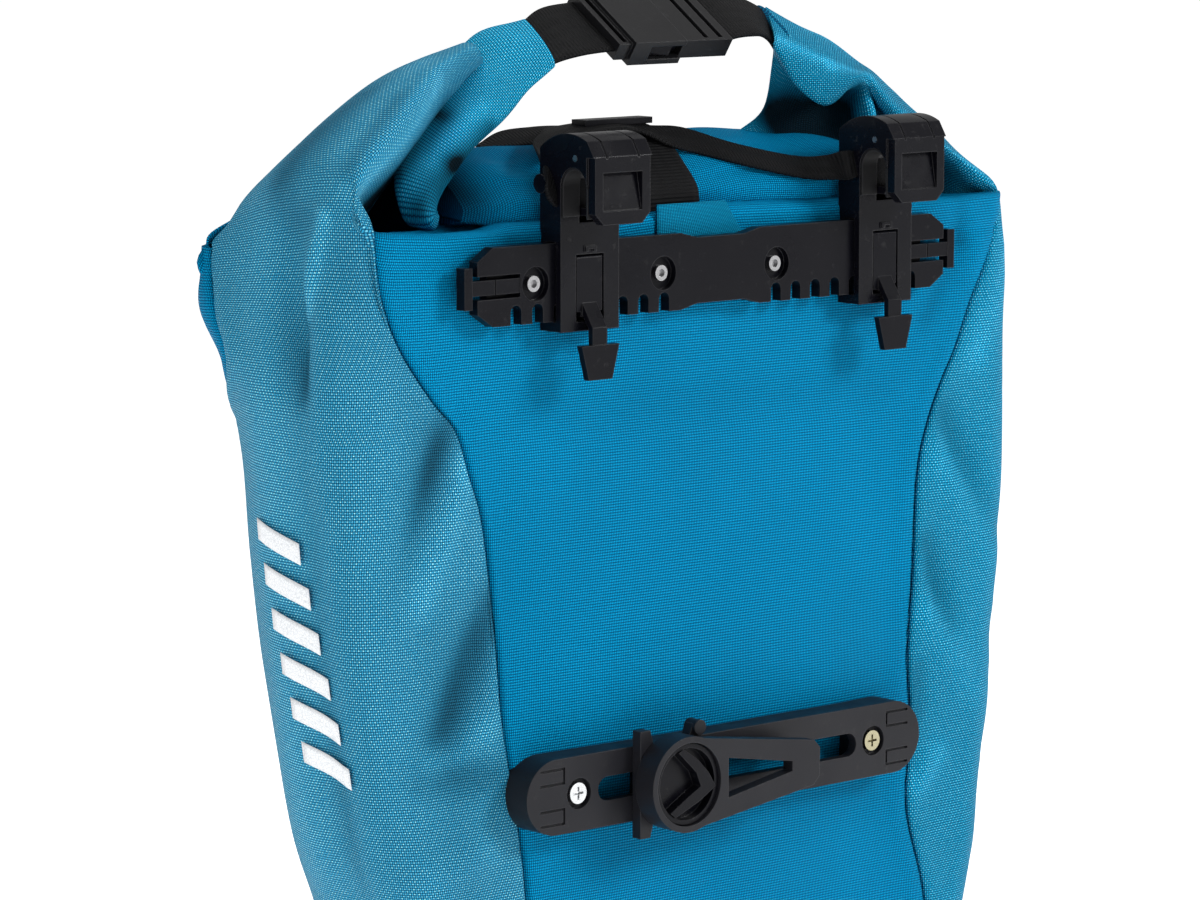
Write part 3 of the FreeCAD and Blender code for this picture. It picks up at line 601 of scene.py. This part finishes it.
# shaded inner faces and lit edges of the ears
LEFT_EAR_PAINTED_LIGHT = [
    ((-192, -12, 418), (-158, -8, 444), 15, -1.5), ((-150, -6, 452), (-128, -8, 468), 8, -0.8),
    ((-198, -37, 435), (-143, -24, 479), 6, 0.7), ((-205, 10, 425), (-180, 20, 455), 14, -0.2),
    ((-200, -36, 445), (-165, -28, 476), 4, -0.3), ((-176, -8, 422), (-146, -10, 444), 10, -1.2),
    ((-192, -24, 450), (-140, -14, 488), 9, 0.4), ((-202, 8, 440), (-168, 2, 480), 13, -0.6),
]
RIGHT_EAR_PAINTED_LIGHT = [
    ((78, -12, 458), (120, -20, 452), 9, -1.3), ((84, -12, 448), (128, -24, 442), 10, -1.4),
    ((90, -13, 464), (110, -18, 462), 9, -0.7), ((100, -15, 446), (117, -20, 458), 12, -0.8),
    ((79, -12, 461), (84, -18, 470), 7, -0.3),
    ((143, -17, 448), (180, -16, 422), 13, -1.4), ((127, -30, 467), (134, -28, 450), 4, -1.0),
    ((92, -28, 462), (112, -28, 466), 5, -0.9), ((70, -23, 495), (97, -32, 481), 4, 0.9),
    ((97, -32, 481), (119, -35, 475), 4, 0.9), ((121, -36, 470), (122, -37, 454), 3.5, 0.9),
    ((110, 0, 499), (180, 5, 462), 9, 0.5), ((150, -38, 450), (200, -43, 418), 5, 0.6),
]


def fold_depth(points):
    """How far the folds push each point outwards; each fold fades towards its ends."""
    depth = np.zeros(points.shape[:-1])
    for start, end, width, height, *_ in FOLDS:
        share, distance = stroke_reach(points, start, end)
        fade = 0.35 + 0.65 * np.sin(np.pi * np.clip(share, 0.08, 0.92))
        depth += height * fade * np.exp(-(distance / width) ** 2)
    return depth


def behind_hardware(grid):
    """The back bulges out under the lower bar and beside it, and stays flat under the rail."""
    x, z = grid[..., 0], grid[..., 2]
    middle = (bar_low[2] + bar_high[2]) / 2
    swell = smooth_step(1 - (np.abs(x) - 60) / 110) * smooth_step(1 - (np.abs(z - middle) - 40) / 90)
    side_swell = np.exp(-((np.abs(x) - 150) / 26) ** 2) * smooth_step((HEM - z) / 60) * 1.5
    out = grid.copy()
    out[..., 1] -= (5.0 * swell + side_swell) * (grid[..., 1] < BACK_Y + 12)
    return out


HEM_ZONE = 60  # height below the hem over which the wall takes up the hem's own slopes and dips


def near_hem(grid):
    """0 below the hem's zone, rising smoothly to 1 at the hem."""
    return smooth_step((grid[..., 2] - (HEM - HEM_ZONE)) / HEM_ZONE)


def corner_drop(grid):
    """The wall's top edge slopes down towards the front."""
    return 14.0 * near_hem(grid) * np.clip((grid[..., 1] + 30) / 90, 0, 1)


WALL_ROWS = 104
BOARD_HALF, BOARD_FOOT = 130, 118
# how much the top edge lies above or below the hem at these places across the bag
HEM_X = (-205, -193, -159, -113, -65, -2, 82, 150, 205)
HEM_LIFT = (1.0, -3.0, -5.5, -6.0, -6.5, -3.5, -5.5, -6.0, -5.0)
wall_z = np.linspace(TURN_UP - 1.0, HEM, WALL_ROWS)


def clear_of_board(grid, also=False):
    """The stiff board inside keeps the cloth's back face out, at the board and at the points in also."""
    x, y, z = grid[..., 0], grid[..., 1], grid[..., 2]
    near = also | ((np.abs(x) < BOARD_HALF) & (y < BACK_Y + 8) & (z > BOARD_FOOT))
    out = grid.copy()
    out[..., 1] = np.where(near, np.minimum(y, BACK_Y - 0.1), y)
    return out


def hem_roll(top):
    """Rows that carry the back's top edge over the hem and down inside the bag."""
    inner = np.clip(1 - (np.abs(top[:, 0]) - 120) / 80, 0.15, 1)
    under = smooth_step((140 - np.abs(top[:, 0])) / 25)
    crest = 5.2
    rows = []
    for dy, dz in ((0.8, 2.2), (2.8, 4.0), (6.0, 5.0), (10.0, crest), (15.0, 4.4), (20.0, 2.6), (25.0, 1.0),
                   (32.0, 2.0), (40.0, 8.0), (46.0, 18.0)):
        row = top.copy()
        row[:, 1] += dy * inner
        row[:, 2] += min(dz, crest) * np.maximum(under, 0.4) + max(dz - crest, 0.0) * under
        rows.append(row)
    return np.array(rows)


def back_panel():
    shares = edge_shares(112)
    rows = []
    from_seam = []
    for z in wall_z:
        left_outline, left_lengths, left, _ = seam_lengths(z, -1)
        right_outline, right_lengths, right, _ = seam_lengths(z, 1)
        s = -left + shares * (left + right)
        rows.append(np.where((s < 0)[:, None], at_length(left_outline, left_lengths, np.abs(s)),
                             at_length(right_outline, right_lengths, np.abs(s))))
        from_seam.append(np.minimum(s + left, right - s))
    grid = np.array(rows)
    from_seam = np.array(from_seam)
    dip = seam_dip(from_seam)
    # stitched hem band, a little thicker than the panel
    hem_band = 1.0 * smooth_step((grid[..., 2] - (HEM - 15)) / 2.0)
    stitch = -0.9 * np.exp(-((grid[..., 2] - (HEM - 16.5)) / 1.0) ** 2)
    grid = pushed(grid, dip + fold_depth(grid) * smooth_step(from_seam / 12.0) + hem_band + stitch)
    grid = ripple(behind_hardware(grid), 1.1, 55.0, 1, (1, 1, 0.6))
    grid = clear_of_board(grid, (np.abs(grid[..., 0]) < 158) & (dip > -0.5))
    # the hem dips a little between the hooks and its ends, and rolls over into the bag
    grid[..., 2] += near_hem(grid) * np.interp(grid[-1, :, 0], HEM_X, HEM_LIFT)
    grid = np.concatenate([grid, hem_roll(grid[-1])])
    # painted shade along the back's creases and a painted highlight along the hem
    painted_light = painted_light_strokes(grid, BACK_PAINTED_LIGHT)
    return grid_piece("back_cloth", grid, BLUE, ["back_panel"], 1.4, painted_light=painted_light)


def front_panel():
    shares = edge_shares(90)
    rows = []
    edge = []
    for z in wall_z:
        left_outline, left_lengths, _, left = seam_lengths(z, -1)
        right_outline, right_lengths, _, right = seam_lengths(z, 1)
        left_part = left_lengths[-1] - left
        right_part = right_lengths[-1] - right
        s = -right_part + shares * (left_part + right_part)
        on_right = at_length(right_outline, right_lengths, right_lengths[-1] + np.minimum(s, 0))
        on_left = at_length(left_outline, left_lengths, left_lengths[-1] - np.maximum(s, 0))
        rows.append(np.where((s < 0)[:, None], on_right, on_left))
        edge.append(np.minimum(s + right_part, left_part - s))
    grid = np.array(rows)
    grid[..., 2] -= corner_drop(grid)
    grid = pushed(grid, seam_dip(np.array(edge)) + fold_depth(grid))
    grid = ripple(grid, 2.2, 80.0, 5)
    return grid_piece("front_cloth", grid, BLUE, ["front_panel"], 1.4)


# ears: the top corners pulled up over the ends of the roll. One row of points for each station, from the
# inner flap, over the fold on the rack side, across the outside and down to the front.
LEFT_EAR = [
    [(-176, 8, 400), (-197, -30, 410), (-207, -44, 420), (-212, 15, 417), (-211, 52, 411), (-207, 64, 408)],
    [(-166, 8, 410), (-191, -28, 426), (-202, -41, 442), (-205, 12, 437), (-193, 52, 427), (-186, 62, 420)],
    [(-148, 4, 434), (-164, -28, 450), (-174, -36, 468), (-182, 8, 461), (-172, 42, 449), (-164, 52, 441)],
    [(-124, 0, 460), (-139, -21, 472), (-147, -27, 486), (-153, 4, 480), (-147, 26, 472), (-140, 34, 465)],
    [(-108, -2, 477), (-118, -13, 484), (-125, -18, 493), (-129, 0, 490), (-123, 12, 485), (-116, 17, 479)],
    [(-97, -3, 487), (-102, -8, 491), (-107, -10, 496), (-108, -2, 496), (-104, 4, 492), (-99, 8, 487)],
]
RIGHT_EAR = [
    [(160, -24, 410), (172, -34, 410), (184, -42, 410), (196, -45, 412), (205, -43, 415), (211, 15, 413),
     (210, 44, 406), (207, 54, 403)],
    [(172, -14, 410), (178, -12, 418), (180, -16, 428), (171, -40, 433), (174, -39, 438), (206, 2, 438),
     (199, 48, 426), (190, 58, 418)],
    [(142, -18, 432), (145, -16, 446), (144, -20, 453), (133, -37, 456), (137, -36, 462), (182, 6, 460),
     (179, 42, 448), (171, 50, 440)],
    [(132, -26, 440), (122, -37, 454), (122, -33, 467), (119, -36, 472), (124, -33, 475), (161, 5, 473),
     (168, 34, 460), (160, 42, 452)],
    [(117, -24, 440), (117, -20, 454), (118, -20, 465), (108, -37, 471), (111, -35, 477), (148, 5, 481),
     (156, 28, 468), (149, 36, 460)],
    [(97, -16, 443), (100, -14, 455), (103, -18, 466), (91, -37, 462), (97, -32, 482), (127, 2, 492),
     (136, 20, 480), (133, 28, 471)],
    [(76, -12, 446), (80, -12, 461), (84, -18, 475), (77, -31, 471), (82, -28, 488), (107, 0, 499),
     (113, 11, 490), (113, 17, 481)],
    [(60, -8, 449), (74, -11, 460), (76, -14, 483), (66, -25, 490), (70, -23, 495), (86, 1, 508),
     (90, 6, 503), (93, 9, 496)],
]


EAR_STEPS = 16  # samples between two points of an ear's station
FLAP_STEPS = 8  # columns between two points of its inner flap
SEAM_ALLOWANCE = 5.0


def side_panel(side, ear, flap_points):
    """Side wall and ear in one cloth. The first flap_points spans of each station lie inside the fold."""
    name = "left" if side < 0 else "right"
    shares = edge_shares(84, length=330.0)
    outer = []
    edge = []
    for z in wall_z:
        outline, lengths, back, front = seam_lengths(z, side)
        s = back + shares * (front - back)
        outer.append(at_length(outline, lengths, s))
        edge.append(np.minimum(s - back, front - s))
    outer = np.array(outer)
    outer[..., 2] -= corner_drop(outer)
    # dense ear: smooth across each station, then along the stations
    first_outer = flap_points * FLAP_STEPS
    stations = []
    for row in ear:
        across = catmull(row, EAR_STEPS)
        split = flap_points * EAR_STEPS
        flap = across[:split:EAR_STEPS // FLAP_STEPS]
        stations.append(np.concatenate([flap, resample(across[split:], shares)]))
    stations[0][first_outer:] = outer[-1]
    ear_grid = catmull(stations, 10)
    # under the back panel the flap's columns shrink to a seam allowance
    tuck = np.linspace(1, 0.1, first_outer)[:, None] * np.array([-side, 1.0, 0.0]) * SEAM_ALLOWANCE
    hidden = outer[:, :1] + tuck + np.array([0, 2.0, 0])
    grid = np.concatenate([np.concatenate([hidden, outer], axis=1), ear_grid[1:]])
    # the folds and the seams' dips are the wall's; the dips fade out at the ear
    rows = np.arange(len(grid))
    full_edge = np.full(grid.shape[:2], 60.0)
    full_edge[:WALL_ROWS, first_outer:] = edge
    dips = seam_dip(full_edge) * (1 - smooth_step((rows - WALL_ROWS + 14) / 14.0))[:, None]
    folds = fold_depth(grid) * smooth_step(full_edge / 12.0)
    folds[:, :first_outer] = 0
    grid = soften(grid, range(WALL_ROWS - 8, WALL_ROWS + 8), 6)
    grid = behind_hardware(pushed(grid, side * (dips + folds)))
    moved = ripple(grid, 1.8, 48.0, 9 + side, (1, 1, 0.55))
    moved[:WALL_ROWS - 4, :first_outer + 2] = grid[:WALL_ROWS - 4, :first_outer + 2]
    moved[:, first_outer:] = clear_of_board(moved[:, first_outer:])
    # painted shade and highlights of the ears, fading in above the wall
    ear_painted_light = painted_light_strokes(moved, LEFT_EAR_PAINTED_LIGHT if side < 0 else RIGHT_EAR_PAINTED_LIGHT)
    ear_painted_light *= smooth_step((rows - WALL_ROWS + 4) / 8.0)[:, None]
    painted_light = np.clip(painted_light_strokes(moved, SIDE_PAINTED_LIGHT) + ear_painted_light, -1.6, 1.2)
    return grid_piece("side_cloth_" + name, moved, SIDE_LEFT_PAINTED_SHEEN if side < 0 else SIDE_RIGHT_PAINTED_SHEEN,
                      ["side_panel_" + name, "gusset_" + name], 1.2, flip=side < 0, painted_light=painted_light)


def base_panel():
    """A flat tray with a turned-up edge: rings down the edge, then inwards across the bottom."""
    shares = np.linspace(0, 1, 73)
    rows = []
    for z in np.linspace(TURN_UP + 1.0, 9.0, 5):
        left, left_lengths = wall_outline(z, -1)
        right, right_lengths = wall_outline(z, 1)
        right_row = at_length(right, right_lengths, shares * right_lengths[-1])
        left_row = at_length(left, left_lengths, shares[::-1] * left_lengths[-1])
        rows.append(np.concatenate([right_row[:-1], left_row[:-1]]))
    ring = rows[-1]
    centre = np.array([0.0, (BACK_Y + FRONT_Y) / 2 - 3, 0.0])
    for share, height in ((0.985, 5.0), (0.965, 2.2), (0.94, 0.6), (0.90, 0.0), (0.7, 0.0), (0.4, 0.0),
                          (0.05, 0.0)):
        row = centre + (ring - centre) * np.array([share, share, 0])
        row[:, 2] = height
        rows.append(row)
    grid = np.array(rows)
    grid[0] = grid[0] * np.array([0.994, 0.99, 1])
    piece = grid_piece("base_cloth", grid, BLUE, ["base_panel"], 1.4, close_u=True, flip=True)
    return piece


back_panel()
front_panel()
side_panel(-1, LEFT_EAR, 2)
side_panel(1, RIGHT_EAR, 4)
base_panel()


# ---- top: roll, arms and the sheet behind them
# shade in the folds at the roll's ends, and light along its crest
ROLL_PAINTED_LIGHT = [((-134, -34, 430), (-130, 10, 440), 15, -1.5), ((134, -34, 430), (128, 10, 440), 16, -1.4),
             ((-96, -36, 440), (0, -34, 441), 4, 0.25), ((-60, -40, 437), (110, -40, 437), 3, -0.35),
             ((0, -25, 447), (100, -22, 449), 3, 0.4)]
# painted shade on the top sheet under the ends of the roll
SHEET_PAINTED_SHADE = [((-128, 8, 438), (-110, 60, 420), 24, -1.4), ((128, 8, 438), (112, 60, 420), 22, -1.0)]


def top_sheet():
    """Joins the ears' front edges behind the roll, sagging under it."""
    middle = [(0, 84, 398), (0, 74, 412), (0, 58, 424), (0, 40, 433), (0, 24, 441), (0, 12, 447)]
    rows = []
    for left_station, right_station, m in zip(LEFT_EAR, RIGHT_EAR, np.array(middle, float)):
        a, b = np.array([left_station[-1], right_station[-1]], float)
        low = min(a[2] - 14, 434)
        near_a = (a[0] + 10, a[1] + 4, low)
        near_b = (b[0] - 8, b[1] + 4, low)
        rows.append(catmull([a, near_a, m + [-60, 0, -2], m, m + [60, 0, -2], near_b, b], 10))
    # tucked in behind the front hem
    rows.insert(0, rows[0] * np.array([0.965, 0.95, 1.0]) - np.array([0, 2.0, 14.0]))
    grid = ripple(catmull(rows, 9), 3.0, 45.0, 3)
    return grid_piece("top_cloth", grid, BLUE, ["top_panel"], 1.2, flip=True,
                      painted_light=painted_light_strokes(grid, SHEET_PAINTED_SHADE))


def roll_bundle():
    low, high = node_box("roll_bundle")
    y0, z0 = low[1:]
    y1, z1 = high[1:]
    section = [(0, y0 + 3, z0 - 5), (0, y0 + 1, z0 + 7), (0, y0 + 7, z0 + 16), (0, y0 + 17, z0 + 24),
               (0, y0 + 29, z1 - 3), (0, y0 + 42, z1), (0, y1 - 6, z1 - 5), (0, y1 - 1, z1 - 16),
               (0, y1 - 8, z0 + 1), (0, y0 + 26, z0 - 5)]
    around = catmull(section + section[:1], 12)[:-1]
    rows = []
    for x in np.linspace(low[0] - 6, high[0] + 4, 96):
        row = around.copy()
        row[:, 0] = x
        # the ends taper and drop into the ears
        past = smooth_step((abs(x) - 108) / 42)
        row[:, 1] = row[:, 1] * (1 - 0.35 * past)
        row[:, 2] = z0 + (row[:, 2] - z0) * (1 - 0.13 * smooth_step((abs(x) - 25) / 60))
        row[:, 2] = z0 + (row[:, 2] - z0) * (1 - 0.45 * past)
        rows.append(row)
    grid = np.array(rows)
    x, y, z = grid[..., 0], grid[..., 1], grid[..., 2]
    # each layer of the roll shows as a low step along the front
    front = smooth_step((y0 + 26 - y) / 14)
    step = front * (np.tanh((z - (z0 + 15 + 2.0 * np.sin(x / 31.0))) / 0.9) * 0.9
                    + np.tanh((z - (z0 + 24 + 1.5 * np.sin(x / 47.0 + 1))) / 0.9) * 0.7)
    # the strap squeezes the middle, and creases run across near the ends
    squeeze = -2.5 * np.exp(-(x / 22) ** 2)
    creases = 1.1 * np.sin(x / 9.0 + y / 7.0) * np.exp(-((np.abs(x) - 105) / 30) ** 2)
    grid = ripple(pushed(grid, -(step + squeeze + creases)), 2.2, 38.0, 7, (0.5, 1.3, 1.3))
    return grid_piece("roll_cloth", grid, BLUE, ["roll_bundle", "roll_stiffener"], 0,
                      close_u=True, caps=True, painted_light=painted_light_strokes(grid, ROLL_PAINTED_LIGHT))


def lofted_band(name, stations, node, thickness, strokes):
    """Flat folded band; each station is its centre, its width's direction, its width and its share of
    the thickness."""
    centre = catmull([s[0] for s in stations], 12)
    across = catmull([s[1] for s in stations], 12)
    sizes = catmull([s[2:] for s in stations], 12)
    across = across / np.linalg.norm(across, axis=1, keepdims=True)
    up = np.cross(np.gradient(centre, axis=0), across)
    up /= np.linalg.norm(up, axis=1, keepdims=True)
    turns = np.linspace(0, 2 * math.pi, 49)[:-1]
    # a rounded rectangle
    wide = np.sign(np.cos(turns)) * np.abs(np.cos(turns)) ** 0.55
    high = np.sign(np.sin(turns)) * np.abs(np.sin(turns)) ** 0.75
    rows = []
    for c, a, n, (width, share) in zip(centre, across, up, sizes):
        rows.append(c + a * (wide * width / 2)[:, None] + n * (high * thickness * share / 2)[:, None])
    grid = ripple(np.array(rows), 1.5, 22.0, 11)
    # painted shade and highlights along the band, from the strokes
    return grid_piece(name, grid, ARM_PAINTED_LIGHTER, [node], 0, close_u=True, caps=True,
                      painted_light=painted_light_strokes(grid, strokes))


# the folded ends of the roll stand up towards the buckle, their flat sides tilted 34 degrees
TILT = (0, math.cos(math.radians(34)), math.sin(math.radians(34)))
LEFT_ARM = [((-69, -11, 496.5), (0.14, 0.82, 0.55), 37, 0.9), ((-88, -8, 488), TILT, 44, 0.8),
            ((-109, -9, 473), TILT, 45, 0.9), ((-131, -14, 456), (-0.1, 0.9, 0.42), 38, 1.1),
            ((-144, -18, 441), (-0.3, 0.85, 0.35), 27, 1.4), ((-152, -23, 430), (-0.45, 0.8, 0.2), 21, 1.5),
            ((-153, -26, 421), (-0.3, 0.9, 0.0), 17, 1.2), ((-144, -22, 418), (0.0, 1.0, 0.0), 14, 1.0)]
RIGHT_ARM = [((80, -9, 501), TILT, 27, 0.8), ((92, -8, 493), TILT, 26, 0.6), ((104, -8, 483), TILT, 20, 0.6),
             ((114, -8, 472), TILT, 14, 0.6)]
# painted shade along the arms' folds and under the ears' edges, painted highlights on their lit faces
LEFT_ARM_PAINTED_LIGHT = [((-156, -30, 424), (-138, -31, 442), 8, -1.2), ((-134, -31, 445), (-114, -30, 459), 6, -1.1),
                 ((-158, -17, 440), (-130, -12, 464), 7, -1.2), ((-128, -10, 466), (-108, -2, 484), 6, -0.9),
                 ((-144, -25, 446), (-112, -22, 470), 6, 0.5), ((-104, -6, 478), (-78, -8, 494), 12, 0.3)]
RIGHT_ARM_PAINTED_SHADE = [((100, -20, 470), (120, -10, 470), 16, -0.8)]

top_sheet()
roll_bundle()
lofted_band("left_arm_cloth", LEFT_ARM, "roll_end_left", 9.0, LEFT_ARM_PAINTED_LIGHT)
lofted_band("right_arm_cloth", RIGHT_ARM, "roll_end_right", 7.0, RIGHT_ARM_PAINTED_SHADE)


# ---- webbing
STRAP_STEPS = 14
STRAP_THICKNESS = 1.8


def strap(name, centre, across, width, nodes):
    """Webbing along a centre line; across and width say how it lies at each of the line's points."""
    path = catmull(centre, STRAP_STEPS)
    directions = catmull(across, STRAP_STEPS)
    directions = directions / np.linalg.norm(directions, axis=1, keepdims=True)
    widths = catmull([(w, 0, 0) for w in np.broadcast_to(width, len(centre))], STRAP_STEPS)[:, 0]
    shares = np.linspace(-0.5, 0.5, 9)
    grid = path[:, None] + directions[:, None] * (shares[None, :, None] * widths[:, None, None])
    piece = grid_piece(name, grid, WEBBING, nodes, STRAP_THICKNESS)
    piece.modifiers["cloth thickness"].offset = 0.0
    return piece


def buckle_webbing():
    low, high = node_box("buckle_female")
    y = (low[1] + high[1]) / 2
    z = (low[2] + high[2]) / 2
    fold = (0.14, 0.82, 0.55)
    strap("left_webbing", [(-82, -11, 488.5), (-69, -11, 496.5), (-54, -11, z - 2), (low[0] + 6, y, z)],
          [fold, fold, TILT, TILT], [28, 33, 36, 37], ["webbing_left"])
    x = node_box("buckle_male")[1][0]
    mouth = (0.5, 0.72, 0.46)
    slack = strap("right_webbing",
                  [(x - 5, y, z), (x + 6, y, z + 3), (x + 17, y, z + 3.5), (x + 29, y, z + 1.5),
                   (x + 40, y, z - 3.5), (x + 48, y + 2, z - 12)],
                  [TILT, TILT, TILT, (0.25, 0.8, 0.5), mouth, mouth], [37, 37, 36, 33, 27, 20],
                  ["webbing_right"])
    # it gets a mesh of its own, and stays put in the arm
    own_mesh(slack)


def roll_strap():
    """From under the back hem, over the roll and down the front to its ladder-lock."""
    low, high = node_box("compression_strap")
    x = (low[0] + high[0]) / 2
    y, top = low[1], high[2]
    path = [(x, BACK_Y + 6, HEM - 8), (x, BACK_Y + 4, HEM + 2), (x, y + 4, HEM + 10), (x, y + 12, HEM + 19),
            (x, y + 22, HEM + 28), (x, y + 34, top - 2.5), (x, -2, top - 0.4), (x, 10, top - 2.5),
            (x, 50, HEM + 19), (x, 80, HEM + 2.5), (x, FRONT_Y - 1.5, HEM - 28),
            (x, FRONT_Y + 1.5, top - 116)]
    strap("roll_strap", path, [(1, 0, 0)] * len(path), 36.0, ["compression_strap"])


def handle():
    """Webbing from hook to hook, which lies over the roll and twists, and its loose end."""
    left = (hook_low["left"][0] + hook_high["left"][0]) / 2
    right = (hook_low["right"][0] + hook_high["right"][0]) / 2
    path = [(left - 12, -60.8, 428), (left - 18, -60.8, 434), (left - 16, -55, 441), (left - 2, -34, 447),
            (left + 16, -20, 450), (-50, -10, 453.6), (-22, -12, 455.4), (-3, -21, 450.2), (13, -25.5, 447.4),
            (35, -36, 440.4), (66, -43.5, 433.4), (79, -53, 433), (right - 20, -60.8, 434.5),
            (right - 14, -61, 435)]
    flat = (0, 1, 0.1)
    slope = (0, 0.72, 0.69)
    upright = (0, 0.3, 0.95)
    across = [(0.7, 0.2, 0.6), (0.6, 0.4, 0.6), (0.5, 0.6, 0.6), (0.2, 0.8, 0.6), (0.1, 0.9, 0.4), flat, flat,
              (0, 0.9, 0.4), slope, slope, slope, slope, upright, upright]
    widths = [11, 13, 13, 14, 18, 24, 25, 20, 16, 14, 14, 15, 14, 12]
    strap("handle_strap", path, across, widths, ["handle_webbing"])
    strap("handle_tail", [(-40, -4, 453.6), (-60, -3, 452.0), (-80, 0, 450.6), (-94, 3, 447.5)],
          [flat, (0, 0.9, 0.35), (0, 0.9, 0.4), flat], [20, 17, 14, 5], [])


buckle_webbing()
roll_strap()
handle()


# ---- trim
def hem_patch():
    """Patch sewn over the hem, wider at its foot."""
    low, high = node_box("hem_patch")
    rows = []
    for share in np.linspace(0, 1, 8):
        across = np.linspace(low[0], high[0] + 6 - 12 * share, 20)
        rows.append([(x, BACK_Y - 1.8, HEM - 14 + 17 * share) for x in across])
    grid = np.transpose(np.array(rows), (1, 0, 2))
    return grid_piece("hem_patch_cloth", grid, PATCH, ["hem_patch"], 0.7, flip=True)


MARK_BARS = 6
BAR_ROWS, BAR_COLUMNS = 9, 5
PRINT_LIFT = 1.6


def reflective_mark():
    """Slanted bars printed on the left side, each a little further forward than the one below it."""
    low, high = node_box("reflective_mark")
    pitch = (high[2] - low[2]) / MARK_BARS
    wall = slice(2, 2 * CORNER_POINTS)  # the side between the ends of both corners
    verts = []
    faces = []
    for index in range(MARK_BARS):
        start = len(verts)
        for across in np.linspace(0, 1, BAR_ROWS):
            for up in np.linspace(0, 1, BAR_COLUMNS):
                z = low[2] + pitch * index + 2 + across * 8 + up * 10
                outline, lengths = wall_outline(z, -1)
                s = np.interp(-30 + index * 4.0 + across * 34, outline[wall, 1], lengths[wall])
                point = at_length(outline, lengths, s)
                verts.append(point - np.array([fold_depth(point[None])[0] + PRINT_LIFT, 0, 0]))
        for r in range(BAR_ROWS - 1):
            for c in range(BAR_COLUMNS - 1):
                a = start + r * BAR_COLUMNS + c
                faces.append([a, a + 1, a + 1 + BAR_COLUMNS, a + BAR_COLUMNS])
    piece = mesh_piece("side_mark", verts, faces)
    thicken(piece, 0.3)
    finish_piece(piece, MARK, ["reflective_mark"])


hem_patch()
reflective_mark()


# ---- stage, light and camera
WHITE = (1.0, 1.0, 1.0, 1.0)
FLOOR = 60.0  # half the floor's side, in metres


def stage():
    corners = [(-FLOOR, -FLOOR, 0), (FLOOR, -FLOOR, 0), (FLOOR, FLOOR, 0), (-FLOOR, FLOOR, 0)]
    mesh = bpy.data.meshes.new("floor")
    mesh.from_pydata(corners, [], [[0, 1, 2, 3]])
    floor = bpy.data.objects.new("floor", mesh)
    bpy.context.scene.collection.objects.link(floor)
    n = Nodes("floor")
    n.set(Base_Color=n.mix(n.noise(3.0), (0.90, 0.90, 0.90), (0.93, 0.93, 0.93)), Roughness=1.0,
          Specular_IOR_Level=0.0, Emission_Color=WHITE, Emission_Strength=0.66)
    mesh.materials.append(n.material)
    world = bpy.data.worlds.new("studio")
    world.use_nodes = True
    background = world.node_tree.nodes["Background"]
    background.inputs["Color"].default_value = WHITE
    background.inputs["Strength"].default_value = 0.40
    bpy.context.scene.world = world


def softbox(name, place, size, power):
    """Area light aimed at the middle of the bag."""
    light = bpy.data.lights.new(name, "AREA")
    light.shape = "RECTANGLE"
    light.size, light.size_y = size
    light.energy = power
    lamp = bpy.data.objects.new(name, light)
    lamp.location = place
    lamp.rotation_euler = (Vector((0.0, 0.0, 0.3)) - Vector(place)).to_track_quat("-Z", "Y").to_euler()
    bpy.context.scene.collection.objects.link(lamp)


def camera():
    data = bpy.data.cameras.new("camera")
    data.sensor_width = 36.0
    data.lens = 139.03
    eye = bpy.data.objects.new("camera", data)
    eye.location = (-1.46024, -1.66703, 0.60189)
    eye.rotation_euler = (math.radians(90 - 7.823), 0.0, math.radians(-40.78))
    bpy.context.scene.collection.objects.link(eye)
    bpy.context.scene.camera = eye


stage()
softbox("key", (1.2, -1.8, 1.5), (0.7, 0.7), 38)
softbox("fill", (-2.2, -0.6, 1.0), (1.2, 1.2), 11)
softbox("top", (0.2, 0.3, 2.2), (1.2, 0.9), 14)
camera()
bpy.context.scene.view_settings.view_transform = "Standard"
